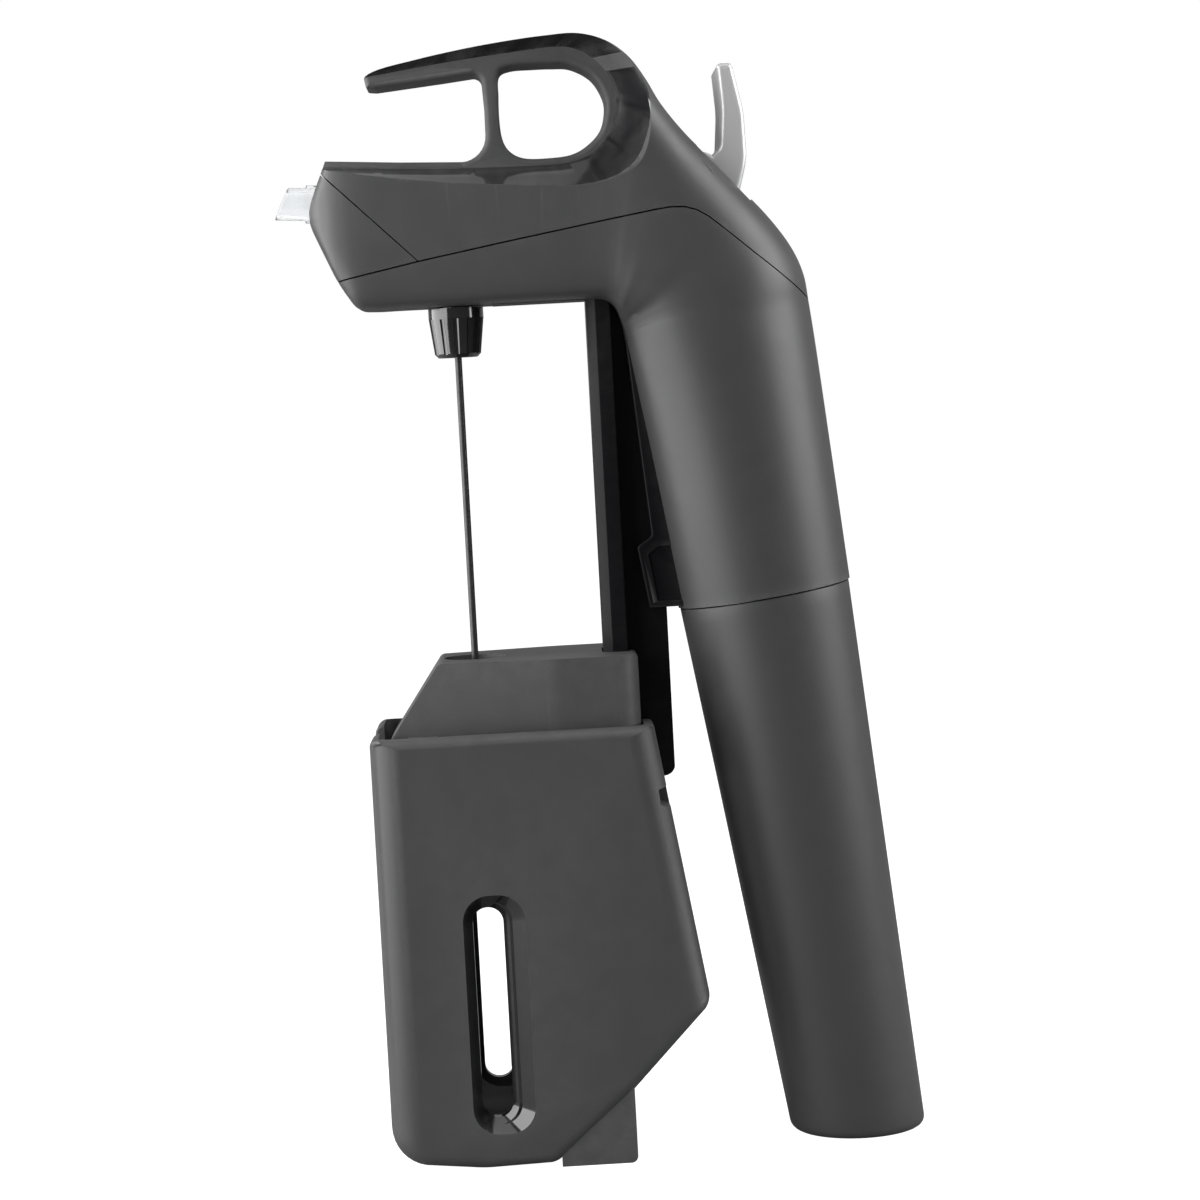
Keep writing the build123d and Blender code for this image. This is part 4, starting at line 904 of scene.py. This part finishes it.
# ---------------------------------------------------------------- floor, light and camera
FRONT_LEVEL, BACK_LEVEL = 0.20, 0.30  # how strongly the surround lights the object from front and back
PAPER_GREY, WHITE = (0.25, 0.25, 0.25, 1), (1, 1, 1, 1)
SOFT_BOXES = (
    ("left_softbox", (-0.46, -0.10, 0.14), (0.0, 0.0, 0.05), (0.85, 0.75), 9.5),
    ("right_softbox", (0.62, -0.10, 0.34), (0.02, 0.0, 0.10), (0.5, 0.62), 6.0),
    ("top_softbox", (0.0, -0.15, 1.1), (0.02, 0.0, 0.0), (0.9, 0.6), 2.0),
)


def seen_directly(tree):
    """One where the camera looks straight at a surface or through clear plastic, nought elsewhere."""
    path = tree.nodes.new("ShaderNodeLightPath")
    return math_node(tree, "MAXIMUM", path.outputs["Is Camera Ray"], path.outputs["Is Transmission Ray"])


def studio():
    """Floor and surround that look white but give little light, and soft boxes left, right and above."""
    bpy.ops.mesh.primitive_plane_add(size=30, location=(0, 0, FLOOR_Z))
    floor = bpy.context.object
    floor.name = "studio_floor"
    paper = bpy.data.materials.new("studio_paper")
    paper.use_nodes = True
    surface = paper.node_tree.nodes["Principled BSDF"]
    surface.inputs["Base Color"].default_value = PAPER_GREY
    surface.inputs["Roughness"].default_value = 0.9
    surface.inputs["Emission Color"].default_value = WHITE
    paper.node_tree.links.new(seen_directly(paper.node_tree), surface.inputs["Emission Strength"])
    floor.data.materials.append(paper)
    world = bpy.data.worlds.new("studio_world")
    bpy.context.scene.world = world
    world.use_nodes = True
    tree = world.node_tree
    back = tree.nodes["Background"]
    back.inputs["Color"].default_value = WHITE
    place = tree.nodes.new("ShaderNodeSeparateXYZ")
    tree.links.new(tree.nodes.new("ShaderNodeTexCoord").outputs["Generated"], place.inputs[0])
    fade = tree.nodes.new("ShaderNodeMapRange")
    limits = {"From Min": 0.0, "From Max": 0.9, "To Min": FRONT_LEVEL, "To Max": BACK_LEVEL}
    for label, value in limits.items():
        fade.inputs[label].default_value = value
    tree.links.new(place.outputs["Y"], fade.inputs["Value"])
    level = math_node(tree, "MAXIMUM", fade.outputs[0], seen_directly(tree))
    tree.links.new(level, back.inputs["Strength"])
    for name, place, aim, size, energy in SOFT_BOXES:
        light = bpy.data.lights.new(name, "AREA")
        light.shape = "RECTANGLE"
        light.size, light.size_y = size
        light.energy = energy
        lamp = bpy.data.objects.new(name, light)
        bpy.context.scene.collection.objects.link(lamp)
        back_axis = np.array(place, float) - np.array(aim, float)
        back_axis /= np.linalg.norm(back_axis)
        right = np.cross((0, 0, 1), back_axis)
        right /= np.linalg.norm(right)
        columns = np.column_stack([right, np.cross(back_axis, right), back_axis, place])
        lamp.matrix_world = Matrix([*columns.tolist(), [0, 0, 0, 1]])


def camera():
    """The main camera, in front of the near side and rolled by 3 degrees."""
    lens = bpy.data.cameras.new("camera")
    lens.sensor_width = 36.0
    lens.lens = 89.7
    lens.clip_start, lens.clip_end = 0.01, 50.0
    eye = bpy.data.objects.new("camera", lens)
    bpy.context.scene.collection.objects.link(eye)
    right = (0.99825, -0.025689, -0.053264)
    up = (0.054838, 0.065058, 0.996374)
    behind = (-0.022131, -0.997551, 0.066353)
    place = (0.013426, -0.650, 0.078114)
    columns = np.column_stack([right, up, behind, place])
    eye.matrix_world = Matrix([*columns.tolist(), [0, 0, 0, 1]])
    bpy.context.scene.camera = eye


studio()
camera()
bpy.context.scene.view_settings.view_transform = "Standard"
